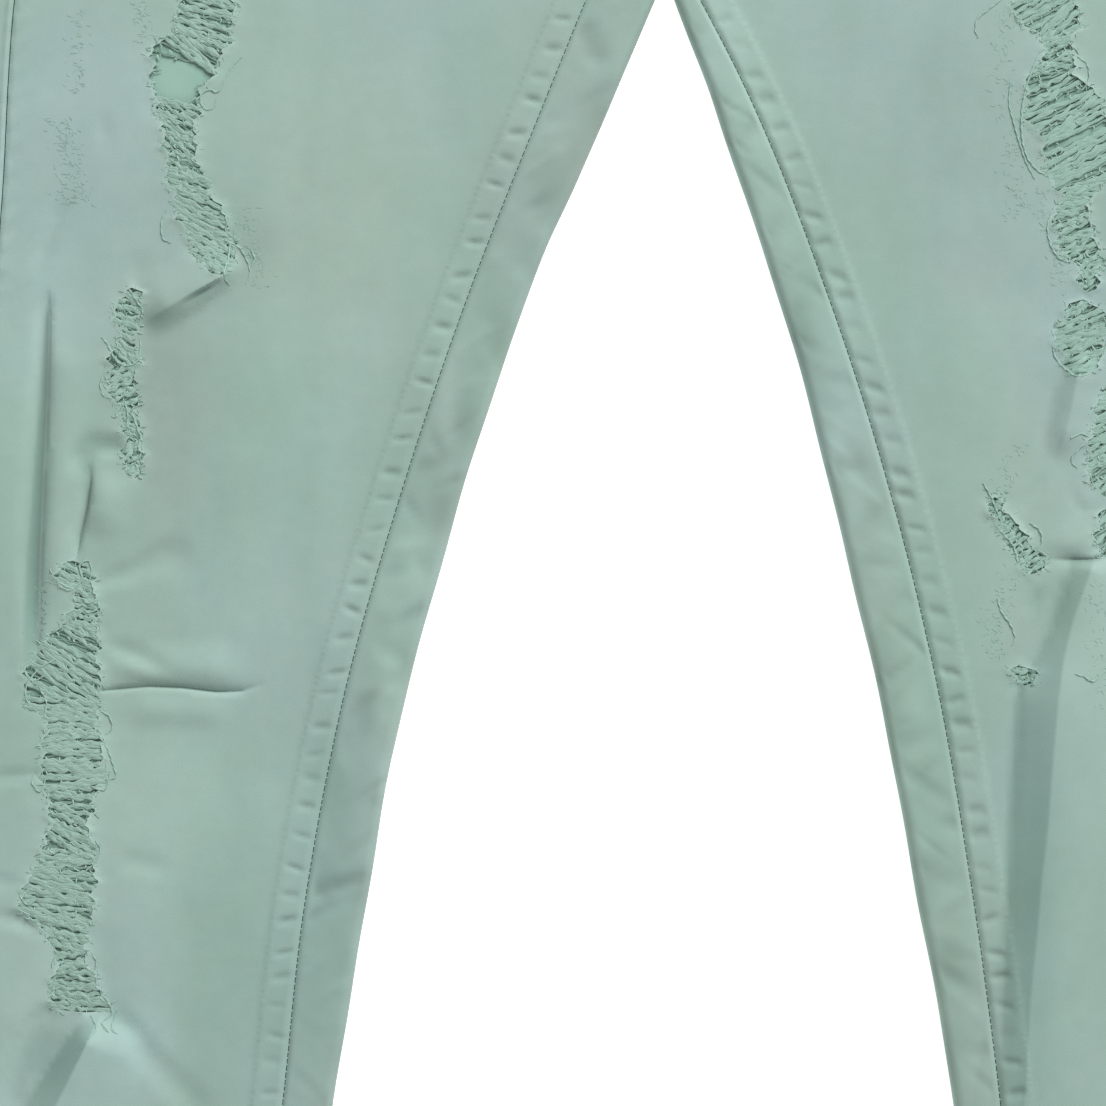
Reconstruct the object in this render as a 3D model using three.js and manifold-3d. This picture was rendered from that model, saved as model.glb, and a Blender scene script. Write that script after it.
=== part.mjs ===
// Ripped jeans, laid flat on their back with the front up.
// Millimetres. +X is to the right of someone looking down at the front, +Y runs from hems to waist
// and +Z is up. Every measure is taken from the crotch, where the two legs part; the last lines move
// the origin to the middle of the underside. "Right" and "left" in a name are the wearer's own, so
// the right leg is the one at -X.

import * as THREE from 'three';
import { mergeVertices } from 'three/addons/utils/BufferGeometryUtils.js';
import Module from 'manifold-3d';

const wasm = await Module();
wasm.setup();

// Driving dimensions: cloth
const WALL = 1.3;             // denim
const BACKING_WALL = 1;       // the lighter cloth behind the rips
const DOUBLE_WALL = 2.2;      // folded cloth of the hems and the waistband
const SEAM_GAP = 0.3;         // between neighbouring pieces
const HALF_GAP = SEAM_GAP / 2;

// Driving dimensions: lengths along the garment
const HEM = -790;
const HEM_BAND = 15;
const HEM_SLANT = 10;         // the hem rises this much towards the outside of the leg
const NOTCH = { x: 1.5, y: -4 };        // where the rolled inner edges meet
const CROSS = { x: -12, y: 35 };        // where the four legs' seams cross, drawn round to the front
const FLY_END = 80;
const YOKE_SEAM = 232;
const YOKE_DROP = 30;         // the yoke is this much deeper at the centre back
const BAND_SEAM = 255;
const WAIST = 295;
const FRONT_DIP = 14;         // the front waist lies this much lower than the back waist
const WAIST_X = -6;           // the centre front at the waist

// Driving dimensions: heights above the table
const LAY = 6;                // top of the front where it lies flat
const LEAST_LAY = 4.4;        // top of the front at the bottom of a valley, with the backing under it
const EDGE_PUFF = 2.4;        // extra height of the rolled edges
const EDGE_ROLL = 4;          // how far a rolled edge reaches in from the outline
const EDGE_FADE = 30;         // and how far in the extra height fades out
const SEAT_LIFT = 1.6;        // room under the seat for the back pockets and belt loops
const FLAP = 8;               // how far the left front laps over the right at the fly
const FLAP_LIFT = 2.2;

/** 0 up to `from`, 1 beyond `to`, and an even S between; it also works with `from` above `to`. */
function ease(value, from, to) {
  const t = THREE.MathUtils.clamp((value - from) / (to - from), 0, 1);
  return t * t * (3 - 2 * t);
}

const mix = THREE.MathUtils.lerp;

/** A smooth curve through [y, x] stations, listed from the lowest up: gives x at any y. */
function through(stations) {
  const last = stations.length - 1;
  const slopes = stations.map((_, k) => {
    const [y0, x0] = stations[Math.max(k - 1, 0)];
    const [y1, x1] = stations[Math.min(k + 1, last)];
    return (x1 - x0) / (y1 - y0);
  });
  return (y) => {
    const above = stations.findIndex(([level]) => level > y);
    const k = above < 0 ? last - 1 : Math.max(above - 1, 0);
    const [y0, x0] = stations[k];
    const [y1, x1] = stations[k + 1];
    const span = y1 - y0;
    const t = (y - y0) / span;
    const rise = (t * t) * (3 - 2 * t);
    const start = t * (1 - t) * (1 - t);
    const end = t * t * (t - 1);
    return mix(x0, x1, rise) + span * (slopes[k] * start + slopes[k + 1] * end);
  };
}

// The outlines of each leg and the lines where its front meets its back, as seen from above.
// away is the direction from the inseam to the side seam.
const LEGS = {
  right: {
    away: -1,
    inner: through([[-790, -180], [-650, -163], [-483, -139.5], [-398, -126], [-313, -109.5],
      [-229, -86.5], [-150, -60.5], [-122, -50.5], [-92, -36], [-16, -3.5], [-4, 1.4]]),
    inseam: through([[-790, -195], [-650, -181], [-483, -161.5], [-398, -152], [-313, -136],
      [-229, -112.5], [-143, -83.5], [-58, -50], [35, -12]]),
    outer: through([[-790, -345.5], [-486, -340], [-350, -330], [-150, -308], [-16, -293],
      [50, -281], [110, -265], [180, -245], [255, -228], [295, -223]]),
    side: through([[-790, -330], [-486, -320], [-350, -308], [-180, -289], [-100, -281],
      [-16, -275.5], [50, -264], [110, -249], [180, -231], [255, -217], [295, -212]]),
  },
  left: {
    away: 1,
    inner: through([[-790, 158], [-650, 143], [-483, 123], [-398, 108.5], [-313, 92], [-229, 72.7],
      [-143, 49.3], [-58, 20.8], [-16, 5], [-4, 1.6]]),
    inseam: through([[-790, 172], [-650, 159], [-483, 143], [-398, 132], [-313, 117.7],
      [-229, 97.8], [-143, 70.7], [-58, 37.2], [35, -12]]),
    outer: through([[-790, 324], [-486, 319], [-350, 312], [-150, 302], [-16, 291],
      [50, 279], [110, 261], [180, 238], [255, 217], [295, 212]]),
    side: through([[-790, 309], [-486, 300], [-350, 291], [-150, 282], [-16, 274],
      [50, 262], [110, 246], [180, 225], [255, 207], [295, 202]]),
  },
};
const centreFront = (y) => mix(CROSS.x, WAIST_X, (y - CROSS.y) / (BAND_SEAM - CROSS.y));
const centreBack = (y) => mix(NOTCH.x, WAIST_X, (y - NOTCH.y) / (WAIST - NOTCH.y));
const crotchSeam = (y) => mix(NOTCH.x, CROSS.x, (y - NOTCH.y) / (CROSS.y - NOTCH.y));

// The largest folds of each leg's front. rise is the height at the path; each point of the path is
// [x, y, reach towards -X side of the path, reach towards its +X side], listed from the top down.
const FOLDS = {
  right: [
    { rise: -3, path: [[-261, -140, 14, 9], [-262, -186, 14, 9], [-266, -228, 15, 8],
      [-266, -290, 14, 8]] },                                       // long valley by the side seam
    { rise: 3.5, path: [[-255, -176, 10, 24], [-257, -228, 10, 24], [-257, -268, 8, 20]] },
    { rise: 3, path: [[-176, -126, 24, 14], [-222, -149, 22, 14]] },  // fold under the thigh rip
    { rise: 3.5, path: [[-232, -206, 10, 22], [-241, -226, 10, 24], [-246, -256, 9, 20]] },
    { rise: 3, path: [[-236, -302, 16, 16], [-205, -302, 18, 18], [-172, -300, 16, 18]] },
    { rise: 3, path: [[-240, -452, 8, 26], [-262, -498, 8, 30]] },  // fold below the knee rip
    { rise: 2.5, path: [[-290, -600, 20, 20], [-225, -625, 20, 20]] },
    { rise: 2.5, path: [[-300, -690, 18, 22], [-232, -668, 18, 22]] },
  ],
  left: [
    { rise: 5, path: [[183, -254, 24, 30], [170, -313, 22, 40], [160, -390, 16, 44],
      [153, -486, 12, 40], [148, -560, 14, 36]] },                  // the pleat down the shin
    { rise: -2.5, path: [[171, -172, 9, 10], [161, -208, 9, 10]] },
    { rise: 2.5, path: [[160, -244, 14, 10], [190, -246, 14, 10]] }, // fold across the knee
    { rise: 2.5, path: [[270, -330, 22, 16], [232, -360, 22, 16]] },
    { rise: 2.5, path: [[292, -610, 20, 20], [224, -640, 20, 20]] },
    { rise: 2.5, path: [[276, -715, 18, 22], [212, -690, 18, 22]] },
  ],
};
const FOLD_TAPER = 18;        // a fold rises from nothing over this length at either end

/** The height that one fold adds at (x, y). */
function foldHeight({ rise, path }, x, y) {
  let nearest = { distance: Infinity };
  let run = 0;
  for (let k = 0; k + 1 < path.length; k += 1) {
    const [x0, y0, low0, high0] = path[k];
    const [x1, y1, low1, high1] = path[k + 1];
    const length = Math.hypot(x1 - x0, y1 - y0);
    const along = ((x - x0) * (x1 - x0) + (y - y0) * (y1 - y0)) / length;
    const t = THREE.MathUtils.clamp(along / length, 0, 1);
    const dx = x - mix(x0, x1, t);
    const dy = y - mix(y0, y1, t);
    const distance = Math.hypot(dx, dy);
    if (distance < nearest.distance) {
      const turn = (x1 - x0) * dy - (y1 - y0) * dx;
      const reach = turn < 0 ? mix(low0, low1, t) : mix(high0, high1, t);
      nearest = { distance, reach, at: run + t * length };
    }
    run += length;
  }
  const across = 1 - ease(nearest.distance, 0, nearest.reach);
  const ends = ease(nearest.at, -1, FOLD_TAPER) * ease(run - nearest.at, -1, FOLD_TAPER);
  return rise * across * ends;
}

const seatLift = (y) => SEAT_LIFT * ease(y, 0, 36);

/** The height of the cloth's upper side at (x, y), on the leg that (x, y) belongs to. */
function lieHeight(leg, x, y) {
  const fromOuter = Math.abs(leg.outer(y) - x);
  const fromInner = Math.abs(leg.inner(Math.min(y, NOTCH.y)) - x);
  const outerPuff = 1 - ease(fromOuter, EDGE_ROLL, EDGE_FADE);
  const innerPuff = (1 - ease(fromInner, EDGE_ROLL, EDGE_FADE)) * ease(y, 60, -30);
  const folds = FOLDS[leg === LEGS.right ? 'right' : 'left'];
  const folded = folds.reduce((sum, fold) => sum + foldHeight(fold, x, y), 0);
  const above = EDGE_PUFF * Math.max(outerPuff, innerPuff) + folded;
  return seatLift(y) + Math.max(LAY + above, LEAST_LAY);
}

/** Levels from the first to the last, evenly spaced between each [level, steps to the next]. */
function levels(...marks) {
  const all = marks.slice(0, -1).flatMap(([from, steps], k) => (
    Array.from({ length: steps }, (_, step) => mix(from, marks[k + 1][0], step / steps))));
  return [...all, marks.at(-1)[0]];
}

/** How far x is across a leg, from 0 at its inner edge or the centre line to 1 at the outer roll. */
function shareAcross(leg, level, x) {
  const middle = level < NOTCH.y ? leg.inner(level) : centreFront(level);
  const reach = leg.outer(level) - leg.away * EDGE_ROLL - middle;
  return THREE.MathUtils.clamp((x - middle) / reach, 0, 1);
}

/** A level's true y at x: hems slant, the front waist dips and the yoke seam drops to the centre. */
const hemRise = (leg, level, x) => HEM_SLANT * ease(level, -600, HEM) * shareAcross(leg, level, x);
const frontLevel = (leg, level, x) => level + hemRise(leg, level, x)
  - FRONT_DIP * ease(level, 150, BAND_SEAM) * (1 - shareAcross(leg, level, x) ** 2);
const backLevel = (leg, level, x) => level + hemRise(leg, level, x)
  - YOKE_DROP * (1 - shareAcross(leg, level, x))
  * (level < YOKE_SEAM ? ease(level, 120, YOKE_SEAM)
    : (BAND_SEAM - level) / (BAND_SEAM - YOKE_SEAM));

/**
 * A piece of cloth as one closed body. outside and inside are the cloth's two faces, as rows of
 * [x, y, z]; keep(row, column) says which of the cells between them are cloth.
 */
function cloth(outside, inside, keep = () => true) {
  const rows = outside.length - 1;
  const columns = outside[0].length - 1;
  const stride = columns + 1;
  const inner = outside.length * stride;
  const has = (r, c) => r >= 0 && r < rows && c >= 0 && c < columns && keep(r, c);
  const index = [];
  const quad = (a, b, c, d) => index.push(a, b, c, a, c, d);
  for (let r = 0; r < rows; r += 1) {
    for (let c = 0; c < columns; c += 1) {
      if (has(r, c)) {
        const [p, q] = [r * stride + c, (r + 1) * stride + c];
        quad(p, p + 1, q + 1, q);
        quad(inner + p, inner + q, inner + q + 1, inner + p + 1);
        if (!has(r - 1, c)) quad(p + 1, p, inner + p, inner + p + 1);
        if (!has(r + 1, c)) quad(q, q + 1, inner + q + 1, inner + q);
        if (!has(r, c - 1)) quad(p, q, inner + q, inner + p);
        if (!has(r, c + 1)) quad(q + 1, p + 1, inner + p + 1, inner + q + 1);
      }
    }
  }
  return closedBody([...outside.flat(), ...inside.flat()], index);
}

/** A geometry of the used points only, with its faces turned outwards. */
function closedBody(points, index) {
  const used = [...new Set(index)];
  const place = new Map(used.map((from, to) => [from, to]));
  let volume = 0;
  for (let k = 0; k < index.length; k += 3) {
    const [a, b, c] = [0, 1, 2].map((n) => new THREE.Vector3(...points[index[k + n]]));
    volume += a.dot(b.cross(c));
  }
  const turned = index.map((from) => place.get(from));
  if (volume < 0) turned.reverse();
  const geometry = new THREE.BufferGeometry();
  const positions = used.flatMap((from) => points[from]);
  geometry.setAttribute('position', new THREE.Float32BufferAttribute(positions, 3));
  geometry.setIndex(turned);
  geometry.computeVertexNormals();
  return geometry;
}

/** The same points moved down by `drop`. */
const lowered = (grid, drop) => grid.map((row) => row.map(([x, y, z]) => [x, y, z - drop]));

// Cutting holes

function toSolid(geometry) {
  const plain = geometry.clone();
  plain.deleteAttribute('normal');
  plain.deleteAttribute('uv');
  const merged = mergeVertices(plain, 1e-4);
  return new wasm.Manifold(new wasm.Mesh({
    numProp: 3,
    vertProperties: new Float32Array(merged.attributes.position.array),
    triVerts: new Uint32Array(merged.index.array),
  }));
}

function toGeometry(solid) {
  const mesh = solid.getMesh();
  const geometry = new THREE.BufferGeometry();
  geometry.setAttribute('position', new THREE.Float32BufferAttribute(mesh.vertProperties, 3));
  geometry.setIndex(new THREE.Uint32BufferAttribute(mesh.triVerts, 1));
  geometry.computeVertexNormals();
  return geometry;
}

/** A flat plate with the given outline, from z = bottom up. */
function plate(shape, bottom, thickness, curveSegments = 4) {
  const geometry = new THREE.ExtrudeGeometry(shape, {
    depth: thickness, bevelEnabled: false, curveSegments,
  });
  return geometry.translate(0, 0, bottom);
}

const CUTTER_DEPTH = 40;
const cutter = (shape) => toSolid(plate(shape, -CUTTER_DEPTH / 2, CUTTER_DEPTH, 10));

/** A rip's outline from its [y, x of the -X edge, x of the +X edge] stations, top down. */
function ripShape(edges) {
  const down = edges.map(([y, low]) => new THREE.Vector2(low, y));
  const up = edges.map(([y, , high]) => new THREE.Vector2(high, y)).reverse();
  return new THREE.Shape([...down, ...up]);
}

// The rips through each front.
const RIPS = {
  right: [
    [[14, -204, -190], [0, -214, -183], [-16, -218, -182], [-41, -218, -189], [-56, -216, -197],
      [-80, -211, -199], [-94, -209, -194], [-107, -206, -187], [-122, -199, -182],
      [-133, -192, -185]],                                                         // thigh
    [[-138, -228, -223], [-147, -235, -222], [-158, -232, -225], [-169, -238, -223],
      [-184, -237, -224], [-195, -231, -222], [-207, -231, -221], [-219, -227, -223]],
    [[-254, -254, -247], [-261, -257, -243], [-271, -249, -241], [-281, -256, -241],
      [-300, -270, -239], [-313, -271, -237], [-321, -263, -240], [-343, -266, -234],
      [-363, -261, -243], [-383, -266, -240], [-399, -273, -241], [-419, -258, -246],
      [-441, -260, -237], [-446, -259, -232]],                                     // knee
  ],
  left: [
    [[12, 158, 168], [-3, 151, 175], [-16, 148, 176], [-25, 153, 176], [-36, 163, 173],
      [-48, 156, 176], [-57, 155, 185], [-67, 155, 188], [-76, 162, 191], [-88, 164, 191],
      [-99, 169, 182], [-111, 166, 181], [-120, 169, 185], [-130, 176, 186],
      [-140, 178, 184]],                                                           // thigh
    [[-143, 175, 182], [-150, 170, 188], [-160, 167, 187], [-170, 171, 185], [-176, 174, 181]],
    [[-178, 188, 199], [-191, 184, 199], [-203, 182, 196], [-215, 181, 192], [-227, 185, 194]],
    [[-231, 187, 194], [-241, 184, 197], [-254, 187, 198]],
    [[-227, 138, 142], [-237, 141, 149], [-245, 146, 155], [-254, 152, 162], [-260, 152, 160]],
    [[-270, 142, 146], [-281, 143, 150], [-292, 144, 156], [-300, 147, 158], [-306, 150, 156]],
  ],
};

// Materials

const denimColour = new THREE.Color(0x9bb4aa);
const materials = {
  denim: () => new THREE.MeshStandardMaterial({ color: denimColour, roughness: 0.9, metalness: 0 }),
  backing: () => new THREE.MeshStandardMaterial({ color: 0x94b6a6, roughness: 0.9, metalness: 0 }),
  metal: () => new THREE.MeshStandardMaterial({ color: 0x9a9a94, roughness: 0.4, metalness: 1 }),
};

const jeans = new THREE.Group();

function add(name, geometry, material) {
  const mesh = new THREE.Mesh(geometry, material());
  mesh.name = name;
  jeans.add(mesh);
}

// Fronts

const FRONT_ROWS = levels([HEM + HEM_BAND + SEAM_GAP, 6], [-480, 17], [NOTCH.y, 2],
  [CROSS.y, 7], [YOKE_SEAM, 1], [BAND_SEAM, 0]);
const FRONT_SHARES = [0, 0.07, 0.16, 0.27, 0.38, 0.49, 0.6, 0.71, 0.82, 0.92, 1];

/** x of a front's inner boundary: the inseam, and above the cross seam the centre front. */
function frontInner(leg, y) {
  if (y < CROSS.y) return leg.inseam(y) + leg.away * HALF_GAP;
  const lap = leg === LEGS.left ? FLAP * ease(y, FLY_END, FLY_END + 20) : 0;
  return centreFront(y) + leg.away * HALF_GAP - lap;
}

/** How far the left front stands off the right one along the fly. */
function flapLift(leg, x, y) {
  if (leg !== LEGS.left) return 0;
  return FLAP_LIFT * ease(y, FLY_END - 46, FLY_END - 18) * ease(x - centreFront(y), 46, 12);
}

const frontGrid = (leg) => FRONT_ROWS.map((row) => FRONT_SHARES.map((share) => {
  const xAt = (y) => mix(frontInner(leg, y), leg.side(y) - leg.away * HALF_GAP, share);
  const y = frontLevel(leg, row, xAt(row));
  return [xAt(y), y, lieHeight(leg, xAt(y), y) + flapLift(leg, xAt(y), y)];
}));

// The scooped pocket mouths, a quarter of an ellipse about the corner of waist and side seams.
const MOUTH_WIDTH = 108;
const MOUTH_DEPTH = 66;

for (const [side, leg] of Object.entries(LEGS)) {
  const grid = frontGrid(leg);
  const mouth = new THREE.Shape();
  mouth.absellipse(leg.side(BAND_SEAM), BAND_SEAM, MOUTH_WIDTH, MOUTH_DEPTH, 0, 2 * Math.PI);
  let solid = toSolid(cloth(grid, lowered(grid, WALL)));
  for (const shape of [...RIPS[side].map(ripShape), mouth]) {
    solid = solid.subtract(cutter(shape));
  }
  add(`front_${side}`, toGeometry(solid), materials.denim);
}

// Backing cloth behind the rips and the pocket facings, each made from the front's own points
// between two levels and two shares of its width, moved down.

function underFront(name, leg, { from, to, low, high }, material) {
  const rows = FRONT_ROWS.map((row, r) => [row, r])
    .filter(([row]) => row >= from && row <= to).map(([, r]) => r);
  const columns = FRONT_SHARES.map((share, c) => [share, c])
    .filter(([share]) => share >= low && share <= high).map(([, c]) => c);
  const front = frontGrid(leg);
  const drop = WALL + SEAM_GAP;
  const grid = rows.map((r, k) => columns.map((c) => {
    const [x, y, z] = front[r][c];
    const inset = k === rows.length - 1 ? SEAM_GAP : 0;
    return [x, y - inset, z - drop];
  }));
  add(name, cloth(grid, lowered(grid, BACKING_WALL)), material);
}

underFront('backing_right_thigh', LEGS.right,
  { from: -145, to: 35, low: 0.38, high: 0.92 }, materials.backing);
underFront('backing_right_knee', LEGS.right,
  { from: -470, to: -135, low: 0.38, high: 0.92 }, materials.backing);
underFront('backing_left', LEGS.left,
  { from: -330, to: 35, low: 0.07, high: 0.82 }, materials.backing);
for (const [side, leg] of Object.entries(LEGS)) {
  underFront(`pocket_facing_${side}`, leg,
    { from: 160, to: BAND_SEAM, low: 0.38, high: 1 }, materials.denim);
}

// Backs. A back lies underneath, rolls up round both edges of the leg and ends on top at the inseam
// and the side seam. Round the crotch its inner edge is the centre back seam instead.

const ROLL_STEPS = 4;
const UNDER_STEPS = 4;
const STRIP_TRIM = 2;         // the strips beside the crotch seam end this far short of the cross seam

/**
 * One level of a back: each entry is a point's outer and inner place. Columns run from the inseam
 * over the inner roll, along the underside and over the outer roll to the side seam.
 */
function backSection(leg, row, wall = WALL) {
  const above = row > NOTCH.y;
  const innerEdge = (y) => (above ? centreBack(y) + leg.away * HALF_GAP : leg.inner(y));
  const rolled = (y) => leg.inner(y) + leg.away * EDGE_ROLL;
  const over = (xAt, highest = WAIST) => {
    const y = Math.min(frontLevel(leg, row, xAt(row)), highest);
    const z = lieHeight(leg, xAt(y), y);
    return { outer: [xAt(y), y, z], inner: [xAt(y), y, z - wall] };
  };
  const stripStart = (y) => leg.inseam(y) - leg.away * HALF_GAP;
  const stripEnd = (y) => (above ? crotchSeam(y) + leg.away * HALF_GAP : rolled(y));
  const roll = (edge, outwards) => Array.from({ length: ROLL_STEPS + 1 }, (_, k) => {
    const y = row + hemRise(leg, row, edge(row));
    const centre = edge(y) - outwards * EDGE_ROLL;
    const [base, top] = [seatLift(y), lieHeight(leg, centre, y)];
    const angle = (0.5 - k / ROLL_STEPS) * Math.PI;
    const half = (top - base) / 2;
    const at = (reach, height) => [centre + outwards * reach * Math.cos(angle), y,
      base + half + height * Math.sin(angle)];
    return { outer: at(EDGE_ROLL, half), inner: at(EDGE_ROLL - wall, half - wall) };
  });
  const under = Array.from({ length: UNDER_STEPS + 1 }, (_, k) => {
    const near = (y) => (above ? innerEdge(y) : rolled(y));
    const xAt = (y) => mix(near(y), leg.outer(y) - leg.away * EDGE_ROLL, k / UNDER_STEPS);
    const y = backLevel(leg, row, xAt(row));
    return { outer: [xAt(y), y, seatLift(y)], inner: [xAt(y), y, seatLift(y) + wall] };
  });
  return [
    over(stripStart, CROSS.y - STRIP_TRIM),
    over(stripEnd, CROSS.y - STRIP_TRIM),
    ...roll(leg.inner, -leg.away).slice(1, -1),
    ...under,
    ...roll(leg.outer, leg.away).reverse().slice(1),
    over((y) => leg.side(y) + leg.away * HALF_GAP),
  ];
}
const STRIP_CELLS = 1;
const INNER_ROLL_END = STRIP_CELLS + ROLL_STEPS;

const BACK_ROWS = levels([HEM + HEM_BAND + SEAM_GAP, 6], [-480, 17], [NOTCH.y, 2],
  [CROSS.y, 7], [YOKE_SEAM - SEAM_GAP, 0]);
const YOKE_ROWS = levels([YOKE_SEAM, 2], [BAND_SEAM, 0]);
const faces = (sections, face) => sections.map((section) => section.map((point) => point[face]));

for (const [side, leg] of Object.entries(LEGS)) {
  const back = BACK_ROWS.map((row) => backSection(leg, row));
  const isBack = (r, c) => {
    if (c < STRIP_CELLS) return BACK_ROWS[r] < CROSS.y;
    return c >= INNER_ROLL_END || BACK_ROWS[r] < NOTCH.y;
  };
  add(`back_${side}`, cloth(faces(back, 'outer'), faces(back, 'inner'), isBack), materials.denim);
  const yoke = YOKE_ROWS.map((row) => backSection(leg, row));
  add(`yoke_${side}`, cloth(faces(yoke, 'outer'), faces(yoke, 'inner'),
    (r, c) => c >= INNER_ROLL_END), materials.denim);
}

// Hems: the leg's end turned up twice and stitched, a flat ring of doubled cloth.

const HEM_STEPS = 6;

function hemRing(leg, row) {
  const round = backSection(leg, row, DOUBLE_WALL).slice(STRIP_CELLS, -1);
  const rolledEdge = (edge, outwards) => (y) => edge(y) - outwards * EDGE_ROLL;
  const [near, far] = [rolledEdge(leg.inner, -leg.away), rolledEdge(leg.outer, leg.away)];
  const over = Array.from({ length: HEM_STEPS }, (_, k) => {
    const xAt = (y) => mix(far(y), near(y), (k + 1) / HEM_STEPS);
    const y = frontLevel(leg, row, xAt(row));
    const z = lieHeight(leg, xAt(y), y);
    return { outer: [xAt(y), y, z], inner: [xAt(y), y, z - DOUBLE_WALL] };
  });
  return [...round, ...over];
}

for (const [side, leg] of Object.entries(LEGS)) {
  const rings = [HEM, HEM + HEM_BAND].map((row) => hemRing(leg, row));
  const geometry = cloth(faces(rings, 'outer'), faces(rings, 'inner'));
  const joined = toGeometry(toSolid(withoutSeam(geometry)));
  add(`hem_${side}`, joined, materials.denim);
}

/** A ring whose first and last columns meet, with the two cut ends between them taken out. */
function withoutSeam(geometry) {
  const merged = mergeVertices(geometry.clone().deleteAttribute('normal'), 1e-3);
  const index = Array.from(merged.index.array);
  const key = (k) => index.slice(k, k + 3).sort((a, b) => a - b).join();
  const seen = new Map();
  for (let k = 0; k < index.length; k += 3) seen.set(key(k), (seen.get(key(k)) ?? 0) + 1);
  const kept = index.filter((_, n) => seen.get(key(n - (n % 3))) === 1);
  merged.setIndex(kept);
  return merged;
}

// Waistband: a doubled strip right round, whose left end laps over the right end at the button.

const BAND_PROUD = 0.9;
const BAND_UNDERLAP = 26;
const BAND_OVERLAP = 8;
const BAND_STEPS = 7;
const BAND_LIFT = DOUBLE_WALL + SEAM_GAP;

function bandRow(row) {
  const frontPoint = (leg, x) => {
    const y = row - FRONT_DIP * (1 - shareAcross(leg, row, x) ** 2);
    const over = leg === LEGS.left ? BAND_LIFT * ease(x - centreFront(row), 70, 32) : 0;
    const z = LAY + SEAT_LIFT + BAND_PROUD + over
      + EDGE_PUFF * (1 - ease(Math.abs(leg.outer(row) - x), EDGE_ROLL, EDGE_FADE));
    return { outer: [x, y, z], inner: [x, y, z - DOUBLE_WALL] };
  };
  const roll = (leg) => Array.from({ length: ROLL_STEPS - 1 }, (_, k) => {
    const angle = (0.5 - (k + 1) / ROLL_STEPS) * Math.PI;
    const top = LAY + SEAT_LIFT + BAND_PROUD + EDGE_PUFF;
    const half = (top - SEAT_LIFT) / 2;
    const centre = leg.outer(row) - leg.away * EDGE_ROLL;
    const at = (reach, height) => [centre + leg.away * reach * Math.cos(angle), row,
      SEAT_LIFT + half + height * Math.sin(angle)];
    return { outer: at(EDGE_ROLL, half), inner: at(EDGE_ROLL - DOUBLE_WALL, half - DOUBLE_WALL) };
  });
  const across = (from, to, make, steps) => Array.from({ length: steps + 1 }, (_, k) => (
    make(mix(from, to, k / steps))));
  const start = (leg) => leg.outer(row) - leg.away * EDGE_ROLL;
  const under = (x) => ({ outer: [x, row, SEAT_LIFT], inner: [x, row, SEAT_LIFT + DOUBLE_WALL] });
  const { right, left } = LEGS;
  return [
    ...across(centreFront(row) + BAND_UNDERLAP, start(right), (x) => frontPoint(right, x), BAND_STEPS),
    ...roll(right),
    ...across(start(right), start(left), under, BAND_STEPS),
    ...roll(left).reverse(),
    ...across(start(left), centreFront(row) - BAND_OVERLAP, (x) => frontPoint(left, x), BAND_STEPS + 3),
  ];
}

const bandRows = levels([BAND_SEAM + SEAM_GAP, 2], [WAIST, 0]).map(bandRow);
add('waistband', cloth(faces(bandRows, 'outer'), faces(bandRows, 'inner')), materials.denim);

// Belt loops: flat strips over the waistband, two in front and three behind.

const LOOP_WIDTH = 12;
const LOOP_LENGTH = 48;
const LOOP_WALL = 1.2;
const LOOP_CORNER = 1.5;

function roundedBox(width, height, corner) {
  const shape = new THREE.Shape();
  const [w, h] = [width / 2 - corner, height / 2 - corner];
  shape.absarc(w, -h, corner, -Math.PI / 2, 0);
  shape.absarc(w, h, corner, 0, Math.PI / 2);
  shape.absarc(-w, h, corner, Math.PI / 2, Math.PI);
  shape.absarc(-w, -h, corner, Math.PI, 1.5 * Math.PI);
  return shape;
}

const bandMiddle = (BAND_SEAM + WAIST) / 2;
const loopMiddle = WAIST - LOOP_LENGTH / 2;
const frontLoopDrop = FRONT_DIP * 0.8;
const overBand = LAY + SEAT_LIFT + BAND_PROUD + SEAM_GAP;
const BELT_LOOPS = {
  belt_loop_front_right: [-106, loopMiddle - frontLoopDrop, overBand],
  belt_loop_front_left: [94, loopMiddle - frontLoopDrop, overBand],
  belt_loop_back_right: [-136, loopMiddle, 0],
  belt_loop_back_centre: [WAIST_X, loopMiddle, 0],
  belt_loop_back_left: [124, loopMiddle, 0],
};
for (const [name, [x, y, bottom]] of Object.entries(BELT_LOOPS)) {
  const strip = plate(roundedBox(LOOP_WIDTH, LOOP_LENGTH, LOOP_CORNER), bottom, LOOP_WALL, 1);
  add(name, strip.translate(x, y, 0), materials.denim);
}

// Back pockets: five-sided patches on the underside of the seat.

const POCKET_WIDTH = 142;
const POCKET_HEIGHT = 150;
const POCKET_POINT = 18;
const POCKET_TAPER = 8;
const POCKET_TOP = 192;
const POCKET_FROM_CENTRE = 104;

function pocketShape(x) {
  const [half, foot] = [POCKET_WIDTH / 2, POCKET_WIDTH / 2 - POCKET_TAPER];
  const low = POCKET_TOP - POCKET_HEIGHT;
  return new THREE.Shape([
    new THREE.Vector2(x - half, POCKET_TOP),
    new THREE.Vector2(x - foot, low + POCKET_POINT),
    new THREE.Vector2(x, low),
    new THREE.Vector2(x + foot, low + POCKET_POINT),
    new THREE.Vector2(x + half, POCKET_TOP),
  ]);
}

for (const [side, leg] of Object.entries(LEGS)) {
  const x = centreBack(POCKET_TOP) + leg.away * POCKET_FROM_CENTRE;
  add(`back_pocket_${side}`, plate(pocketShape(x), 0, WALL), materials.denim);
}

// Fly zip, closed and hidden under the left front, and the button of the waistband.

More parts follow.
